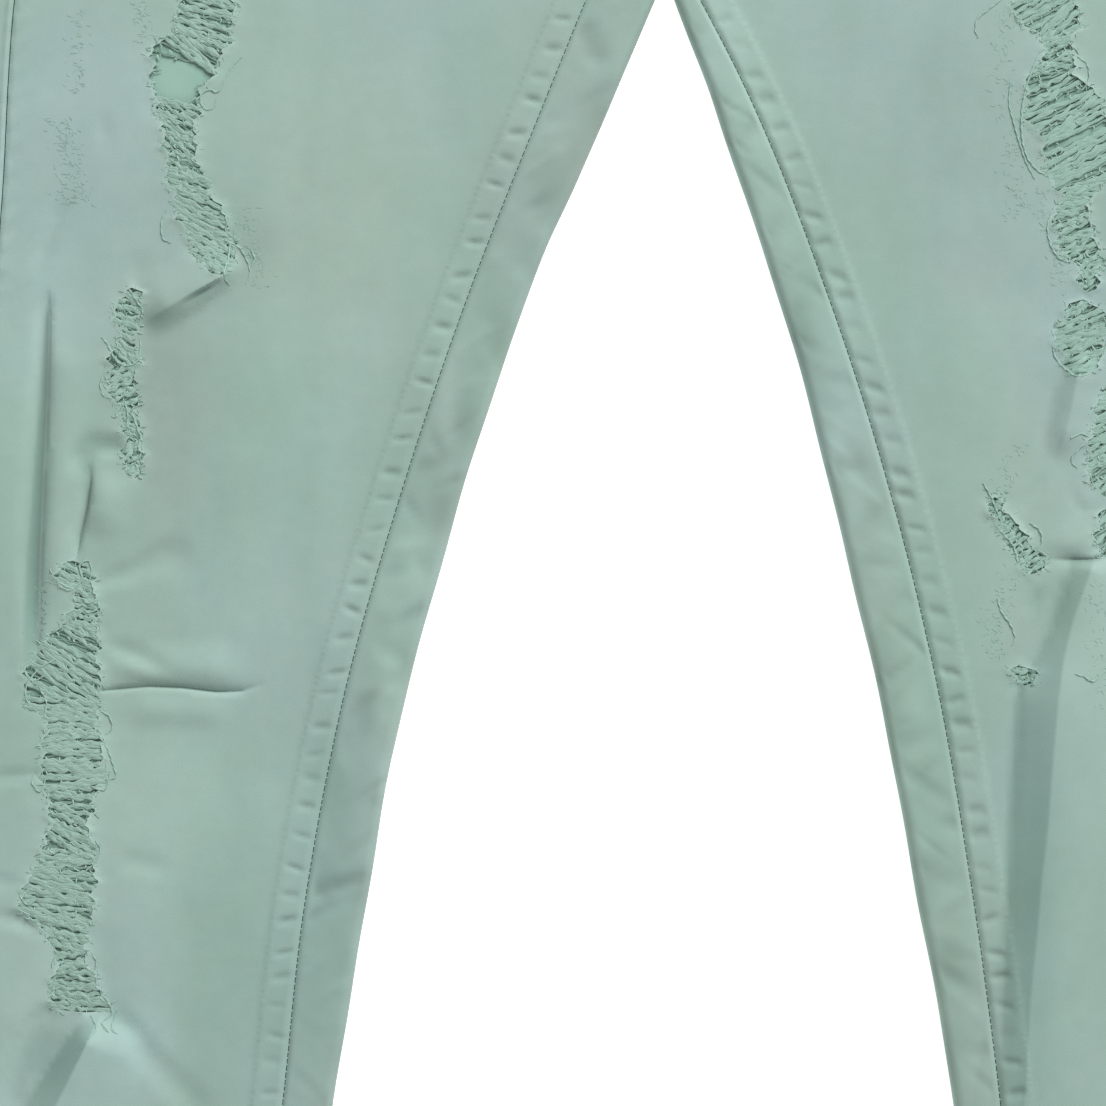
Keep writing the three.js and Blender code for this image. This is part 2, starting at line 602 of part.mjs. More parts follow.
const ZIP_WIDTH = 24;
const ZIP_THICKNESS = 1;
const zipMiddle = (FLY_END + BAND_SEAM - FRONT_DIP) / 2;
const zipBottom = LAY + SEAT_LIFT - WALL - SEAM_GAP - ZIP_THICKNESS;
const zipStrip = roundedBox(ZIP_WIDTH, BAND_SEAM - FRONT_DIP - FLY_END, 2);
add('fly_zip', plate(zipStrip, zipBottom, ZIP_THICKNESS, 1)
  .translate(centreFront(zipMiddle), zipMiddle, 0), materials.metal);

const BUTTON_RADIUS = 8.5;
const BUTTON_HEIGHT = 2.6;
const BUTTON_DISH = 0.5;
const buttonProfile = [[0, 0], [BUTTON_RADIUS - 1.2, 0], [BUTTON_RADIUS, 0.9],
  [BUTTON_RADIUS - 0.8, BUTTON_HEIGHT], [BUTTON_RADIUS - 2.6, BUTTON_HEIGHT],
  [BUTTON_RADIUS - 3.4, BUTTON_HEIGHT - BUTTON_DISH], [0, BUTTON_HEIGHT - BUTTON_DISH]]
  .map(([radius, height]) => new THREE.Vector2(radius, height));
const button = new THREE.LatheGeometry(buttonProfile, 16).rotateX(Math.PI / 2);
add('button', button.translate(
  centreFront(BAND_SEAM) + BUTTON_RADIUS,
  bandMiddle - FRONT_DIP,
  overBand + BAND_LIFT,
), materials.metal);

// The origin goes to the middle of the underside.

const middle = new THREE.Box3().setFromObject(jeans).getCenter(new THREE.Vector3());
jeans.position.set(-middle.x, -middle.y, 0);
jeans.updateMatrixWorld(true);

export default jeans;
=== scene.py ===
"""Ripped jeans laid flat on their back with the front up, for Blender 4.5.

The garment is worked out in millimetres from the crotch, where the two legs part: +X is to the right
of someone looking down at the front and +Y runs from hems to waist. `sew` turns that into the
metres of the frame. "Right" and "left" are the wearer's own, so the right leg is the one at -X.
"""

import math
from types import SimpleNamespace

import bpy
import numpy as np
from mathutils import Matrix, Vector
from mathutils.geometry import delaunay_2d_cdt


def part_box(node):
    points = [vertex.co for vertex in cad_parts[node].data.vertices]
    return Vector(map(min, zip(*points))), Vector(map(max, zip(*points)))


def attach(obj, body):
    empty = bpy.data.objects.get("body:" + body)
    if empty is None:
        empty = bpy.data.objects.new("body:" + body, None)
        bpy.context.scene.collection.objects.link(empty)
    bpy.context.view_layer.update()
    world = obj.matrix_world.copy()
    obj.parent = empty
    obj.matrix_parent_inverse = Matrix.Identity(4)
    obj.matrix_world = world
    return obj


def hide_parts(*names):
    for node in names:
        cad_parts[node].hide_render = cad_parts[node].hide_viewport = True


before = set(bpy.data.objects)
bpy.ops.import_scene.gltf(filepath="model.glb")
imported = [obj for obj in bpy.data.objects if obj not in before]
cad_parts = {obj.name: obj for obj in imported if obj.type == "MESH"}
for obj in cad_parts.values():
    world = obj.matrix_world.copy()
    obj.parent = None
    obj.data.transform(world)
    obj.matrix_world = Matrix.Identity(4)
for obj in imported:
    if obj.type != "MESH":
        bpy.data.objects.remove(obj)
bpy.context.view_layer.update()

# ----------------------------------------
# Denim
# Garment-dyed cotton twill, soft and matt, dyed a pale mint after sewing, so the dye lies in clouds and
# is lighter on worn edges. Diagonal ribs of 0.9 mm run down to the left, as on a right-hand twill.
# Painted shade and light held on each point darken its creases, puckers and fold banks, and lighten or
# darken it in places.

TWILL_PITCH = 0.9
TWILL_ANGLE = math.radians(62)


class Wire:
    """The output of a material's node; arithmetic on it adds Math nodes."""

    def __init__(self, tree, socket=None):
        self.tree, self.socket = tree, socket

    def node(self, kind, settings=(), sockets=(), output=0):
        """A new node in the same material: its settings first, then its sockets' values or links."""
        made = self.tree.nodes.new(kind)
        for name, value in dict(settings).items():
            setattr(made, name, value)
        for name, value in dict(sockets).items():
            if isinstance(value, Wire):
                self.tree.links.new(value.socket, made.inputs[name])
            else:
                made.inputs[name].default_value = value
        return Wire(self.tree, made.outputs[output]) if made.outputs else None

    def maths(self, operation, first, second=0.0, clamp=False):
        settings = {"operation": operation, "use_clamp": clamp}
        return self.node("ShaderNodeMath", settings, {0: first, 1: second})

    def __add__(self, other):
        return self.maths("ADD", self, other)

    def __sub__(self, other):
        return self.maths("SUBTRACT", self, other)

    def __rsub__(self, other):
        return self.maths("SUBTRACT", other, self)

    def __mul__(self, other):
        return self.maths("MULTIPLY", self, other)

    __radd__ = __add__
    __rmul__ = __mul__

    def mixed(self, first, second):
        """first where this mask is 0 and second where it is 1, as colours."""
        sockets = {"Factor": self}
        for key, colour in ((6, first), (7, second)):
            sockets[key] = colour if isinstance(colour, Wire) else (*colour, 1)
        return self.node("ShaderNodeMix", {"data_type": "RGBA"}, sockets, output=2)

    def times(self, by):
        """This vector or colour times another, part by part; by may be three parts."""
        if isinstance(by, tuple) and isinstance(by[0], Wire):
            by = self.node("ShaderNodeCombineXYZ", {}, dict(enumerate(by)))
        return self.node("ShaderNodeVectorMath", {"operation": "MULTIPLY"}, {0: self, 1: by})

    def drawn(self, name, output="Fac"):
        """What each point of the piece holds under this name."""
        return self.node("ShaderNodeAttribute", {"attribute_name": name}, output=output)

    def bump(self, strength):
        """A bumped normal from this height."""
        return self.node("ShaderNodeBump", {}, {"Strength": strength, "Distance": 0.0002, "Height": self})

    def waves(self, axis, sockets):
        """Straight waves from 0 to 1 along an axis, with this vector as their place."""
        settings = {"wave_type": "BANDS", "bands_direction": axis}
        return self.node("ShaderNodeTexWave", settings, {"Vector": self, **sockets}, output="Fac")

    def noise(self, scale, detail=2.0, roughness=0.5):
        """Even clouds between 0 and 1, about 1 / scale across, with this vector as their place."""
        return self.node("ShaderNodeTexNoise", {}, {
            "Vector": self, "Scale": scale, "Detail": detail, "Roughness": roughness})

    def between(self, low, high):
        """This value from 0 at low to 1 at high, with an even S between."""
        return self.node("ShaderNodeMapRange", {"interpolation_type": "SMOOTHSTEP"}, {
            "Value": self, "From Min": low, "From Max": high})


def new_material(name):
    """An empty material with its output, and a Wire to add nodes with."""
    made = bpy.data.materials.new(name)
    made.use_nodes = True
    made.node_tree.nodes.clear()
    return made, Wire(made.node_tree)


def finish_material(wire, sockets):
    """Ends the material in a Principled surface with these sockets."""
    surface = wire.node("ShaderNodeBsdfPrincipled", {}, sockets)
    wire.node("ShaderNodeOutputMaterial", {}, {"Surface": surface})


def cloth_place(wire):
    """The place on the garment, in millimetres."""
    return wire.node("ShaderNodeTexCoord", output="Object").times((1000, 1000, 1000))


def twill(place):
    """The ribs of the twill, from 0 in the grooves to 1 on the ribs."""
    turned = place.node("ShaderNodeMapping", {}, {"Vector": place, "Rotation": (0, 0, TWILL_ANGLE)})
    return turned.waves("X", {
        "Scale": 0.314 / TWILL_PITCH, "Distortion": 0.6, "Detail": 1.0, "Detail Scale": 0.4})


def denim_material(name, cool, warm, deep):
    """Dyed twill between three shades, lighter where it is worn and shifted by colour clouds and by painted
    shade and light held on each point.
    """
    made, wire = new_material(name)
    place = cloth_place(wire)
    clouds = place.times((1, 0.55, 1)).noise(0.011, 2.5, 0.55).between(0.36, 0.64)
    streaks = place.times((1, 0.22, 1)).noise(0.026, 2.0).between(0.42, 0.74)
    blots = place.noise(0.055, 2.0, 0.6)
    tint = place.noise(0.09, 3.0, 0.6) - 0.5
    mottle = place.noise(0.16, 3.0, 0.6)
    grain = place.noise(1.1, 2.0, 0.6)
    # the colour held on each point: clouds of colour, with painted shade and painted light
    colour = (streaks * 0.5).mixed(clouds.mixed(cool, warm), deep).times(wire.drawn("dye_and_shade", "Vector"))
    ribs = twill(place)
    shade = 0.875 + blots * 0.1 + mottle * 0.09 + grain * 0.05 + ribs * 0.02 + wire.drawn("worn") * 0.16
    colour = colour.times((shade + tint * 0.08, shade, shade - tint * 0.04))
    relief = ribs * 0.5 + grain * 0.6 + mottle * 0.5
    finish_material(wire, {
        "Base Color": colour, "Roughness": 0.92, "Specular IOR Level": 0.25, "Sheen Weight": 0.12,
        "Sheen Roughness": 0.5, "Sheen Tint": (0.8, 0.95, 0.9, 1), "Normal": relief.bump(0.25)})
    return made


DENIM_COOL = (0.322, 0.440, 0.405)
DENIM_WARM = (0.300, 0.420, 0.362)
DENIM_DEEP = (0.268, 0.388, 0.340)
denim = denim_material("denim", DENIM_COOL, DENIM_WARM, DENIM_DEEP)

# ----------------------------------------
# Backs
# A back is the wider panel of a leg. It lies on the table, rolls up round both edges of the leg and
# meets the front on top, at the inseam and at the side seam.

MM = 0.001
TURN = 2 * math.pi
WALL = 1.1                    # washed denim
SEAM_GAP = 0.3
HALF_GAP = SEAM_GAP / 2
HEM = -790
HEM_BAND = 15
HEM_SLANT = 10
NOTCH = (1.5, -4)             # where the rolled inner edges meet
CROSS = (-12, 35)             # where the seams of the four panels cross
YOKE_SEAM = 232
YOKE_DROP = 30
BAND_SEAM = 255
WAIST = 295
FRONT_DIP = 14
WAIST_X = -6
LAY = 6                       # top of the front where it lies flat
LEAST_LAY = 4                 # and at the bottom of a valley
EDGE_PUFF = 2.4
ROLL = 4
EDGE_FADE = 30
SEAT_LIFT = 1.6               # room under the seat for the back pockets
IN_VIEW = (-505, 0)           # where creases and seams are made finest

loop_low, loop_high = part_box("belt_loop_back_centre")
hem_low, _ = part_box("hem_right")
CROTCH = np.array(((loop_low.x + loop_high.x) / 2 - WAIST_X * MM, hem_low.y - HEM * MM, 0))


def ease(value, low, high):
    """0 at low, 1 at high and beyond, and an even S between; low may be above high."""
    t = np.clip((value - low) / (high - low), 0, 1)
    return t * t * (3 - 2 * t)


def bell(value, width):
    """1 at 0, falling away evenly on both sides."""
    return np.exp(-(value / width) ** 2)


def stacked(*parts):
    """Places, or faces, from their parts."""
    return np.stack(parts, axis=-1)


def mix(first, second, share):
    return first + (second - first) * share


def through(*stations):
    """A smooth curve through (y, x) stations, lowest first, that gives x at any y."""
    ys, xs = np.array(stations, float).T
    rise = np.append(xs[1:], xs[-1]) - np.append(xs[0], xs[:-1])
    slope = rise / (np.append(ys[1:], ys[-1]) - np.append(ys[0], ys[:-1]))

    def x_at(y):
        k = np.clip(np.searchsorted(ys, y, side="right") - 1, 0, len(ys) - 2)
        span = ys[k + 1] - ys[k]
        t = (y - ys[k]) / span
        bend = slope[k] * t * (1 - t) ** 2 + slope[k + 1] * t * t * (t - 1)
        return mix(xs[k], xs[k + 1], t * t * (3 - 2 * t)) + span * bend

    return x_at


# Each leg's outlines and seams as seen from above. away points from the inseam to the side seam.
right = SimpleNamespace(
    side="right", away=-1,
    inner=through((-790, -180), (-650, -163), (-483, -139.5), (-398, -126), (-313, -109.5),
                  (-229, -86.5), (-150, -60.5), (-122, -50.5), (-92, -36), (-16, -3.5), (-4, 1.4)),
    inseam=through((-790, -195), (-650, -181), (-483, -161.5), (-398, -152), (-313, -136),
                   (-229, -112.5), (-143, -83.5), (-58, -50), (35, -12)),
    outer=through((-790, -345.5), (-486, -340), (-350, -330), (-150, -308), (-16, -293),
                  (50, -281), (110, -265), (180, -245), (255, -228), (295, -223)),
    seam=through((-790, -330), (-486, -320), (-350, -308), (-180, -289), (-100, -281),
                 (-16, -275.5), (50, -264), (110, -249), (180, -231), (255, -217), (295, -212)))
left = SimpleNamespace(
    side="left", away=1,
    inner=through((-790, 158), (-650, 143), (-483, 123), (-398, 108.5), (-313, 92), (-229, 72.7),
                  (-143, 49.3), (-58, 20.8), (-16, 5), (-4, 1.6)),
    inseam=through((-790, 172), (-650, 159), (-483, 143), (-398, 132), (-313, 117.7),
                   (-229, 97.8), (-143, 70.7), (-58, 37.2), (35, -12)),
    outer=through((-790, 324), (-486, 319), (-350, 312), (-150, 302), (-16, 291),
                  (50, 279), (110, 261), (180, 238), (255, 217), (295, 212)),
    seam=through((-790, 309), (-486, 300), (-350, 291), (-150, 282), (-16, 274),
                 (50, 262), (110, 246), (180, 225), (255, 207), (295, 202)))
LEGS = (right, left)


def uneven(x_at, phase):
    """An outline with the slight unevenness of a rolled edge, below the crotch."""
    def x_of(y):
        stray = 0.32 * np.sin(y / 23 + phase) + 0.2 * np.sin(y / 10.3 + 2 * phase)
        return x_at(y) + stray * ease(y, -30, -70)

    return x_of


right.inner = uneven(right.inner, 0.6)
left.inner = uneven(left.inner, 2.9)


def centre_front(y):
    return mix(CROSS[0], WAIST_X, (y - CROSS[1]) / (BAND_SEAM - CROSS[1]))


def centre_back(y):
    return mix(NOTCH[0], WAIST_X, (y - NOTCH[1]) / (WAIST - NOTCH[1]))


def crotch_seam(y):
    return mix(NOTCH[0], CROSS[0], (y - NOTCH[1]) / (CROSS[1] - NOTCH[1]))


# The creases of each leg. Each is (rise, sharpness, path), and each point of a path is
# (x, y, reach on the right-hand side of someone walking the path, reach on the left-hand side).
# A negative rise is a valley. Sharpness is 0 for a rounded top, 1 for a knife edge and below 0 for flat
# banks with a crisp brow.
CREASES = {
    "right": (
        # the long valley beside the side seam, and the swell on its inner side
        (-3.7, 0.7, ((-261.4, -138, 6, 2), (-262, -165, 8, 2.4), (-262.7, -186, 10, 2.8),
            (-263.6, -207, 12, 3.2), (-264.8, -232, 13, 3.4), (-265.6, -252, 13, 3.2), (-266, -271, 10, 3),
            (-266, -292, 9, 3), (-266.5, -318, 7, 3))),
        (1.6, 0.0, ((-254, -160, 8, 16), (-256, -205, 8, 14), (-258, -240, 8, 10), (-257, -285, 8, 12))),
        # the slanting fold under the thigh rip, which drops steeply towards the hem
        (4.8, -0.8, ((-178, -126, 14, 4.4), (-188, -134, 16, 6), (-197, -139, 18, 7.4),
            (-208, -145.5, 18, 8.6), (-222, -154, 16, 10))),
        (-1.5, 0.6, ((-184, -132.5, 1.6, 3), (-190, -137, 1.8, 3.2), (-197, -141, 2, 3.6),
            (-206, -147, 2, 4))),
        (-1.0, 0.3, ((-218.9, -121, 5, 5), (-223, -128, 5, 5), (-226, -139, 5, 4))),
        (1.2, 0.0, ((-213, -160, 10, 10), (-205, -166, 10, 10))),
        # the fold that turns a corner below the middle rip, round a small swell
        (-3.0, 0.1, ((-226, -207.5, 7, 5), (-234, -206.2, 8, 5), (-242, -206, 8, 6), (-246.5, -211, 8, 6),
            (-246, -221, 8, 5))),
        (-2.9, 0.8, ((-243.2, -213, 6, 2), (-243.5, -221, 6, 2), (-245, -232, 5, 2), (-247.6, -243, 4, 2),
            (-250, -256, 4, 2))),
        (2.0, 0.0, ((-236, -214, 9, 15), (-238, -228, 9, 16), (-241, -246, 8, 16))),
        # the shallow wedge above the knee rip
        (-1.9, 0.3, ((-243.5, -266, 3, 4), (-235, -262, 5, 5), (-226, -258, 8, 6), (-213, -252, 11, 9),
            (-199, -247, 14, 12))),
        # the crease across the knee with its soft bank above, and the fold that runs into it
        (-2.3, 0.9, ((-243, -310, 1.3, 2.2), (-231, -308.6, 1.3, 2.2), (-219, -307.5, 1.3, 2.2),
            (-205, -308, 1.3, 2.4), (-190, -309.8, 1.6, 2.8), (-179, -309.6, 2.4, 3.6),
            (-168, -305.5, 4, 5))),
        (2.0, 0.0, ((-236, -300.5, 8, 10), (-222, -300, 8, 10), (-205, -300, 9, 14), (-186, -301, 9, 16),
            (-174, -299, 10, 12))),
        (1.2, 0.0, ((-232, -317, 9, 10), (-205, -318, 9, 12), (-180, -318, 9, 12))),
        (-1.4, 0.2, ((-240, -287.5, 5, 6), (-229, -293, 5, 7), (-218, -297.5, 5, 7), (-205, -302, 4, 8))),
        # the folds that fan out below the knee rip
        (-3.8, 0.4, ((-257, -443, 5, 6), (-266, -449, 5, 6), (-272.5, -459, 5, 6), (-276, -471, 6, 6),
            (-281, -490, 7, 7))),
        (9.0, -0.9, ((-238.5, -446, 8, 22), (-241.5, -453.5, 9, 24), (-249, -469, 11, 26),
            (-257.5, -486, 13, 28), (-267, -506, 15, 30), (-276, -535, 15, 28), (-283, -572, 14, 26))),
        (-1.2, 0.1, ((-235, -441, 7, 7), (-230, -450, 8, 8), (-218, -466, 9, 9), (-203, -481, 10, 10),
            (-190, -498, 10, 10))),
        (-1.8, 0.2, ((-281, -484, 7, 7), (-268, -484, 7, 7))),
        # puckers that run from the knee rip to the side seam
        (-1.5, 0.3, ((-290, -347, 4, 4), (-275, -345.5, 4, 4), (-262, -344, 4, 4))),
        (-1.5, 0.3, ((-290, -390, 4, 4), (-272, -390.5, 4, 4))),
        (-1.5, 0.3, ((-288, -404, 5, 5), (-274, -407, 5, 5), (-262, -414, 4, 4))),
        (-0.8, 0.0, ((-236, -380, 7, 7), (-205, -386, 7, 7))),
        (-0.9, 0.0, ((-236, -60, 5, 5), (-239, -82, 5, 5))),
        # the rubbed hollow beside the side seam
        (-1.6, 0.2, ((-252, -97, 5, 6), (-258, -108, 5, 6), (-264, -122, 5, 6), (-268, -132, 5, 6))),
        # where it isn't ripped: shin, hem and hip
        (1.8, 0.1, ((-296, -600, 24, 24), (-258, -612, 24, 24), (-222, -628, 24, 24))),
        (-1.0, 0.2, ((-300, -622, 14, 11), (-262, -636, 14, 11), (-228, -650, 14, 11))),
        (1.7, 0.1, ((-306, -694, 22, 24), (-268, -682, 22, 24), (-230, -672, 22, 24))),
        (-0.9, 0.2, ((-296, -540, 11, 11), (-262, -552, 11, 11), (-232, -560, 11, 11))),
        (1.2, 0.1, ((-200, -700, 19, 19), (-214, -740, 19, 19))),
        (1.4, 0.1, ((-40, 60, 19, 16), (-84, 76, 22, 19), (-128, 100, 22, 19))),
        (-1.0, 0.3, ((-30, 42, 11, 11), (-72, 50, 12, 12), (-120, 66, 14, 14))),
        (1.2, 0.1, ((-60, 20, 16, 16), (-110, 32, 19, 19), (-160, 56, 19, 19))),
        (-0.8, 0.2, ((-226, 120, 14, 14), (-180, 98, 16, 16), (-150, 92, 16, 16))),
    ),
    "left": (
        # the pleat down the shin: a bank that faces the inseam, and the plateau beyond its edge
        (4.6, -0.9, ((185, -246, 9, 30), (182, -256, 9, 30), (173.6, -279, 9, 32), (169.4, -296, 11, 34),
            (167, -313, 16, 38), (165, -337, 16.5, 40), (162.8, -368.5, 15.5, 42), (160.2, -390, 14.6, 42),
            (158.5, -411, 15, 42), (155.5, -441, 18, 40), (153, -486, 22, 38), (150, -545, 22, 36))),
        (-0.7, 0.3, ((172, -256, 4, 2), (167, -275, 4, 2), (160.5, -290, 4, 2), (152.4, -304.7, 4, 2),
            (150, -311, 4, 3), (149, -330, 5, 4), (147.4, -356, 6, 5), (146, -398, 6, 6), (143, -462, 6, 6),
            (138, -520, 6, 6))),
        # the short valley on the thigh, and the fold across the knee
        (3.0, -0.85, ((178.5, -164, 6, 12), (176, -174, 6.6, 14), (173, -190, 7.6, 14),
            (169.6, -204, 8, 12), (167.5, -212, 7, 12))),
        (-0.9, 0.2, ((168, -178, 4, 4), (165, -190, 4, 4), (161.5, -202, 4, 4), (160, -211, 4, 4))),
        (1.4, 0.2, ((158, -245, 5, 12), (166, -247, 5, 14), (178, -247, 5, 14), (192, -245, 5, 14),
            (206, -242, 8, 14))),
        (-1.9, 0.7, ((162, -253.5, 5, 2.5), (172, -253.5, 5, 2.5), (182, -253.5, 5, 2.5), (192, -251, 5, 3),
            (204, -248, 5, 4))),
        (-0.8, 0.2, ((163.6, -214, 4, 4), (158, -224, 4, 4), (150, -236, 4, 4))),
        (-2.2, 0.2, ((163.5, -264, 3, 3), (159, -271, 3.4, 3), (154.5, -278, 3, 3))),
        (-0.8, 0.2, ((172, -219.7, 3, 4), (176.4, -232, 3, 4), (187, -233, 3, 4))),
        # beyond the pleat and below the frame of the knee
        (1.5, 0.1, ((272, -330, 24, 30), (250, -346, 24, 30), (224, -362, 22, 27))),
        (-1.0, 0.3, ((280, -300, 14, 14), (250, -312, 14, 14), (214, -322, 14, 14))),
        (1.3, 0.1, ((276, -120, 22, 22), (244, -132, 22, 22), (214, -146, 19, 19))),
        (-1.0, 0.3, ((284, -224, 12, 12), (250, -216, 12, 12), (214, -206, 11, 11))),
        (1.8, 0.1, ((296, -606, 24, 24), (262, -620, 24, 24), (222, -642, 24, 24))),
        (-1.0, 0.2, ((290, -580, 12, 12), (256, -590, 12, 12), (222, -606, 12, 12))),
        (1.7, 0.1, ((280, -716, 22, 24), (246, -704, 22, 24), (212, -690, 22, 24))),
        (-0.8, 0.2, ((200, -730, 14, 14), (228, -746, 14, 14))),
        (1.4, 0.1, ((24, 50, 16, 19), (72, 66, 19, 22), (116, 92, 19, 22))),
        (-1.0, 0.3, ((14, 34, 11, 11), (62, 44, 12, 12), (108, 60, 14, 14))),
        (1.2, 0.1, ((48, 12, 16, 16), (98, 26, 19, 19), (150, 50, 19, 19))),
        (-0.8, 0.2, ((216, 124, 14, 14), (172, 104, 16, 16), (142, 96, 16, 16))),
    ),
}
CREASE_TAPER = 14             # a crease grows from nothing over this length


def to_crease(path, x, y):
    """How far (x, y) is from a crease, its reach on that side, how far along that is, and its length."""
    nearest = np.full(np.shape(x), np.inf)
    reach, at, run = np.ones_like(nearest), np.zeros_like(nearest), 0.0
    for (x0, y0, right0, left0), (x1, y1, right1, left1) in zip(path, path[1:]):
        length = math.hypot(x1 - x0, y1 - y0)
        t = np.clip(((x - x0) * (x1 - x0) + (y - y0) * (y1 - y0)) / length ** 2, 0, 1)
        dx, dy = x - mix(x0, x1, t), y - mix(y0, y1, t)
        distance = np.hypot(dx, dy)
        turn = (x1 - x0) * dy - (y1 - y0) * dx
        here = np.where(turn < 0, mix(right0, right1, t), mix(left0, left1, t))
        closer = distance < nearest
        nearest = np.where(closer, distance, nearest)
        reach = np.where(closer, here, reach)
        at = np.where(closer, run + t * length, at)
        run += length
    return nearest, reach, at, run


def crease_height(crease, x, y):
    """The height that one crease adds at (x, y)."""
    rise, sharpness, path = crease
    nearest, reach, at, run = to_crease(path, x, y)
    share = np.clip(nearest / reach, 0, 1)
    across = mix(1 - ease(share, 0, 1), (1 - share) ** 2 if sharpness > 0 else 1 - share, abs(sharpness))
    fade = max(CREASE_TAPER, 0.3 * run)
    ends = ease(at, -1, CREASE_TAPER) * ease(run - at, -1, fade)
    return rise * across * ends


draw = np.random.default_rng(7)
RIPPLES = [(draw.uniform(0, TURN), draw.uniform(0, TURN), wave, lift)
           for wave, lift in ((150, 0.5), (118, 0.42), (92, 0.32), (70, 0.2), (54, 0.13), (39, 0.08),
                              (27, 0.05), (19, 0.03))]


def ripples(x, y):
    """The slight unevenness of cloth that has been smoothed by hand."""
    total = np.zeros(np.shape(x))
    for heading, phase, wave, lift in RIPPLES:
        along = x * math.cos(heading) + y * math.sin(heading) * 0.7
        bend = np.sin((x * math.sin(heading) - y * math.cos(heading)) / wave * 2.1 + phase)
        total += lift * np.sin(along * TURN / wave + phase + 1.3 * bend)
    return total


def seat_lift(y):
    return SEAT_LIFT * ease(y, 0, 36)


def lie(leg, x, y):
    """The height of the cloth's upper side above the table, on the leg that (x, y) belongs to."""
    from_outer = np.abs(leg.outer(y) - x)
    from_inner = np.abs(leg.inner(np.minimum(y, NOTCH[1])) - x)
    outer_puff = 1 - ease(from_outer, ROLL, EDGE_FADE)
    inner_puff = (1 - ease(from_inner, ROLL, EDGE_FADE)) * ease(y, 60, -30)
    calm = ease(np.minimum(from_outer, from_inner), 0, 25)
    height = LAY + EDGE_PUFF * np.maximum(outer_puff, inner_puff) + ripples(x, y) * calm
    for crease in CREASES[leg.side]:
        height = height + crease_height(crease, x, y)
    spare = height - LEAST_LAY
    return seat_lift(y) + LEAST_LAY + np.where(spare > 4, spare, np.log1p(np.exp(2.2 * spare)) / 2.2)


def share_across(leg, level, x):
    """How far x is across a leg, from 0 at its inner edge or the centre line to 1 at the outer roll."""
    middle = np.where(level < NOTCH[1], leg.inner(level), centre_front(level))
    return np.clip((x - middle) / (leg.outer(level) - leg.away * ROLL - middle), 0, 1)


def hem_rise(leg, level, x):
    return HEM_SLANT * ease(level, -600, HEM) * share_across(leg, level, x)


def front_level(leg, level, x):
    dip = FRONT_DIP * ease(level, 150, BAND_SEAM) * (1 - share_across(leg, level, x) ** 2)
    return level + hem_rise(leg, level, x) - dip


def back_level(leg, level, x):
    drop = YOKE_DROP * (1 - share_across(leg, level, x))
    share = np.where(level < YOKE_SEAM, ease(level, 120, YOKE_SEAM),
                     (BAND_SEAM - level) / (BAND_SEAM - YOKE_SEAM))
    return level + hem_rise(leg, level, x) - drop * share


def levels(*marks):
    """Levels from the first mark to the last; each mark is (level, pitch up to the next)."""
    parts = [np.linspace(low, high, max(1, round((high - low) / pitch)), endpoint=False)
             for (low, pitch), (high, _) in zip(marks, marks[1:])]
    return np.concatenate([*parts, [marks[-1][0]]])


def seam_distance(leg, x, y):
    """How far a point is from the inseam, square to it."""
    return np.abs(x - leg.inseam(np.minimum(y, CROSS[1]))) * 0.95


def ditch(distance, depth, width):
    """How deep the cloth dips where it turns in at a seam."""
    return depth * np.clip(1 - distance / width, 0, 1) ** 1.6


SEAM_WRINKLES = [(level, *draw.uniform((0.1, 0.2, 1.2), (1.2, 1.3, 3.4)))
                 for level in np.cumsum(draw.uniform(6, 17, 76)) + HEM]


def inseam_wrinkles(leg, x, y):
    """Slanting wrinkles on the back's side of the inseam, where the seam has drawn it in."""
    d = seam_distance(leg, x, y)
    total = np.zeros(np.shape(x))
    for level, lift, slant, width in SEAM_WRINKLES:
        along = np.abs(y - level + slant * d) / width
        total += np.where(along < 3, 0.2 * lift * np.exp(-along ** 2), 0)
    return total * ease(d, 0.5, 3) * np.exp(-d / 11)


# Dents and crumples in the strip between each inseam and the leg's inner edge.
DEEPEST_DENTS = {
    "right": [(-392, 12, 13, 3.0, 0.35, -1.6), (-276, 20, 6, 4, 0.6, -1.2), (-318, 10, 5, 12, 0.0, -0.9)],
    "left": [(-214, 10, 5, 12, 0.3, -0.9), (-330, 16, 7, 5, -0.4, -1.1), (-430, 14, 8, 4, 0.5, -1.0)],
}
DENTS = {side: [(level, *draw.uniform((1, 4.5, 1.6, -1.0, -1.0), (24, 10, 4.2, 1.0, 0.55)))
                for level in np.cumsum(draw.uniform(2, 11, 118)) + HEM] + deepest
         for side, deepest in DEEPEST_DENTS.items()}


def strip_dents(leg, x, y):
    d = seam_distance(leg, x, y)
    total = np.zeros(np.shape(x))
    for level, middle, long, wide, tilt, depth in DENTS[leg.side]:
        u, v = d - middle, y - level - tilt * (d - middle)
        near = (np.abs(v) < 3 * wide) & (np.abs(u) < 3 * long)
        total += np.where(near, 0.75 * depth * np.exp(-(u / long) ** 2 - (v / wide) ** 2), 0)
    return total * ease(d, 1, 4) * ease(d, 34, 27)


def side_roll(leg, x, y):
    """The back's folded edge along the side seam, which stands up as a thin cord."""
    d = np.abs(x - leg.seam(y))
    rope = 0.75 + 0.25 * np.sin((y + d) * TURN / 9.5)
    return 0.9 * rope * bell(d - 1.7, 1.1) - ditch(d, 0.9, 1.0)


UNDER_COLUMNS = 16
ROLL_COLUMNS = 10
STRIP_SHARES = np.concatenate([[0, 0.02, 0.05, 0.09], np.linspace(0.14, 1, 15)])
OVER_SHARES = np.concatenate([np.linspace(0, 0.7, 5), [0.78, 0.85, 0.9, 0.94, 0.97, 1]])
STRIP_TRIM = 2


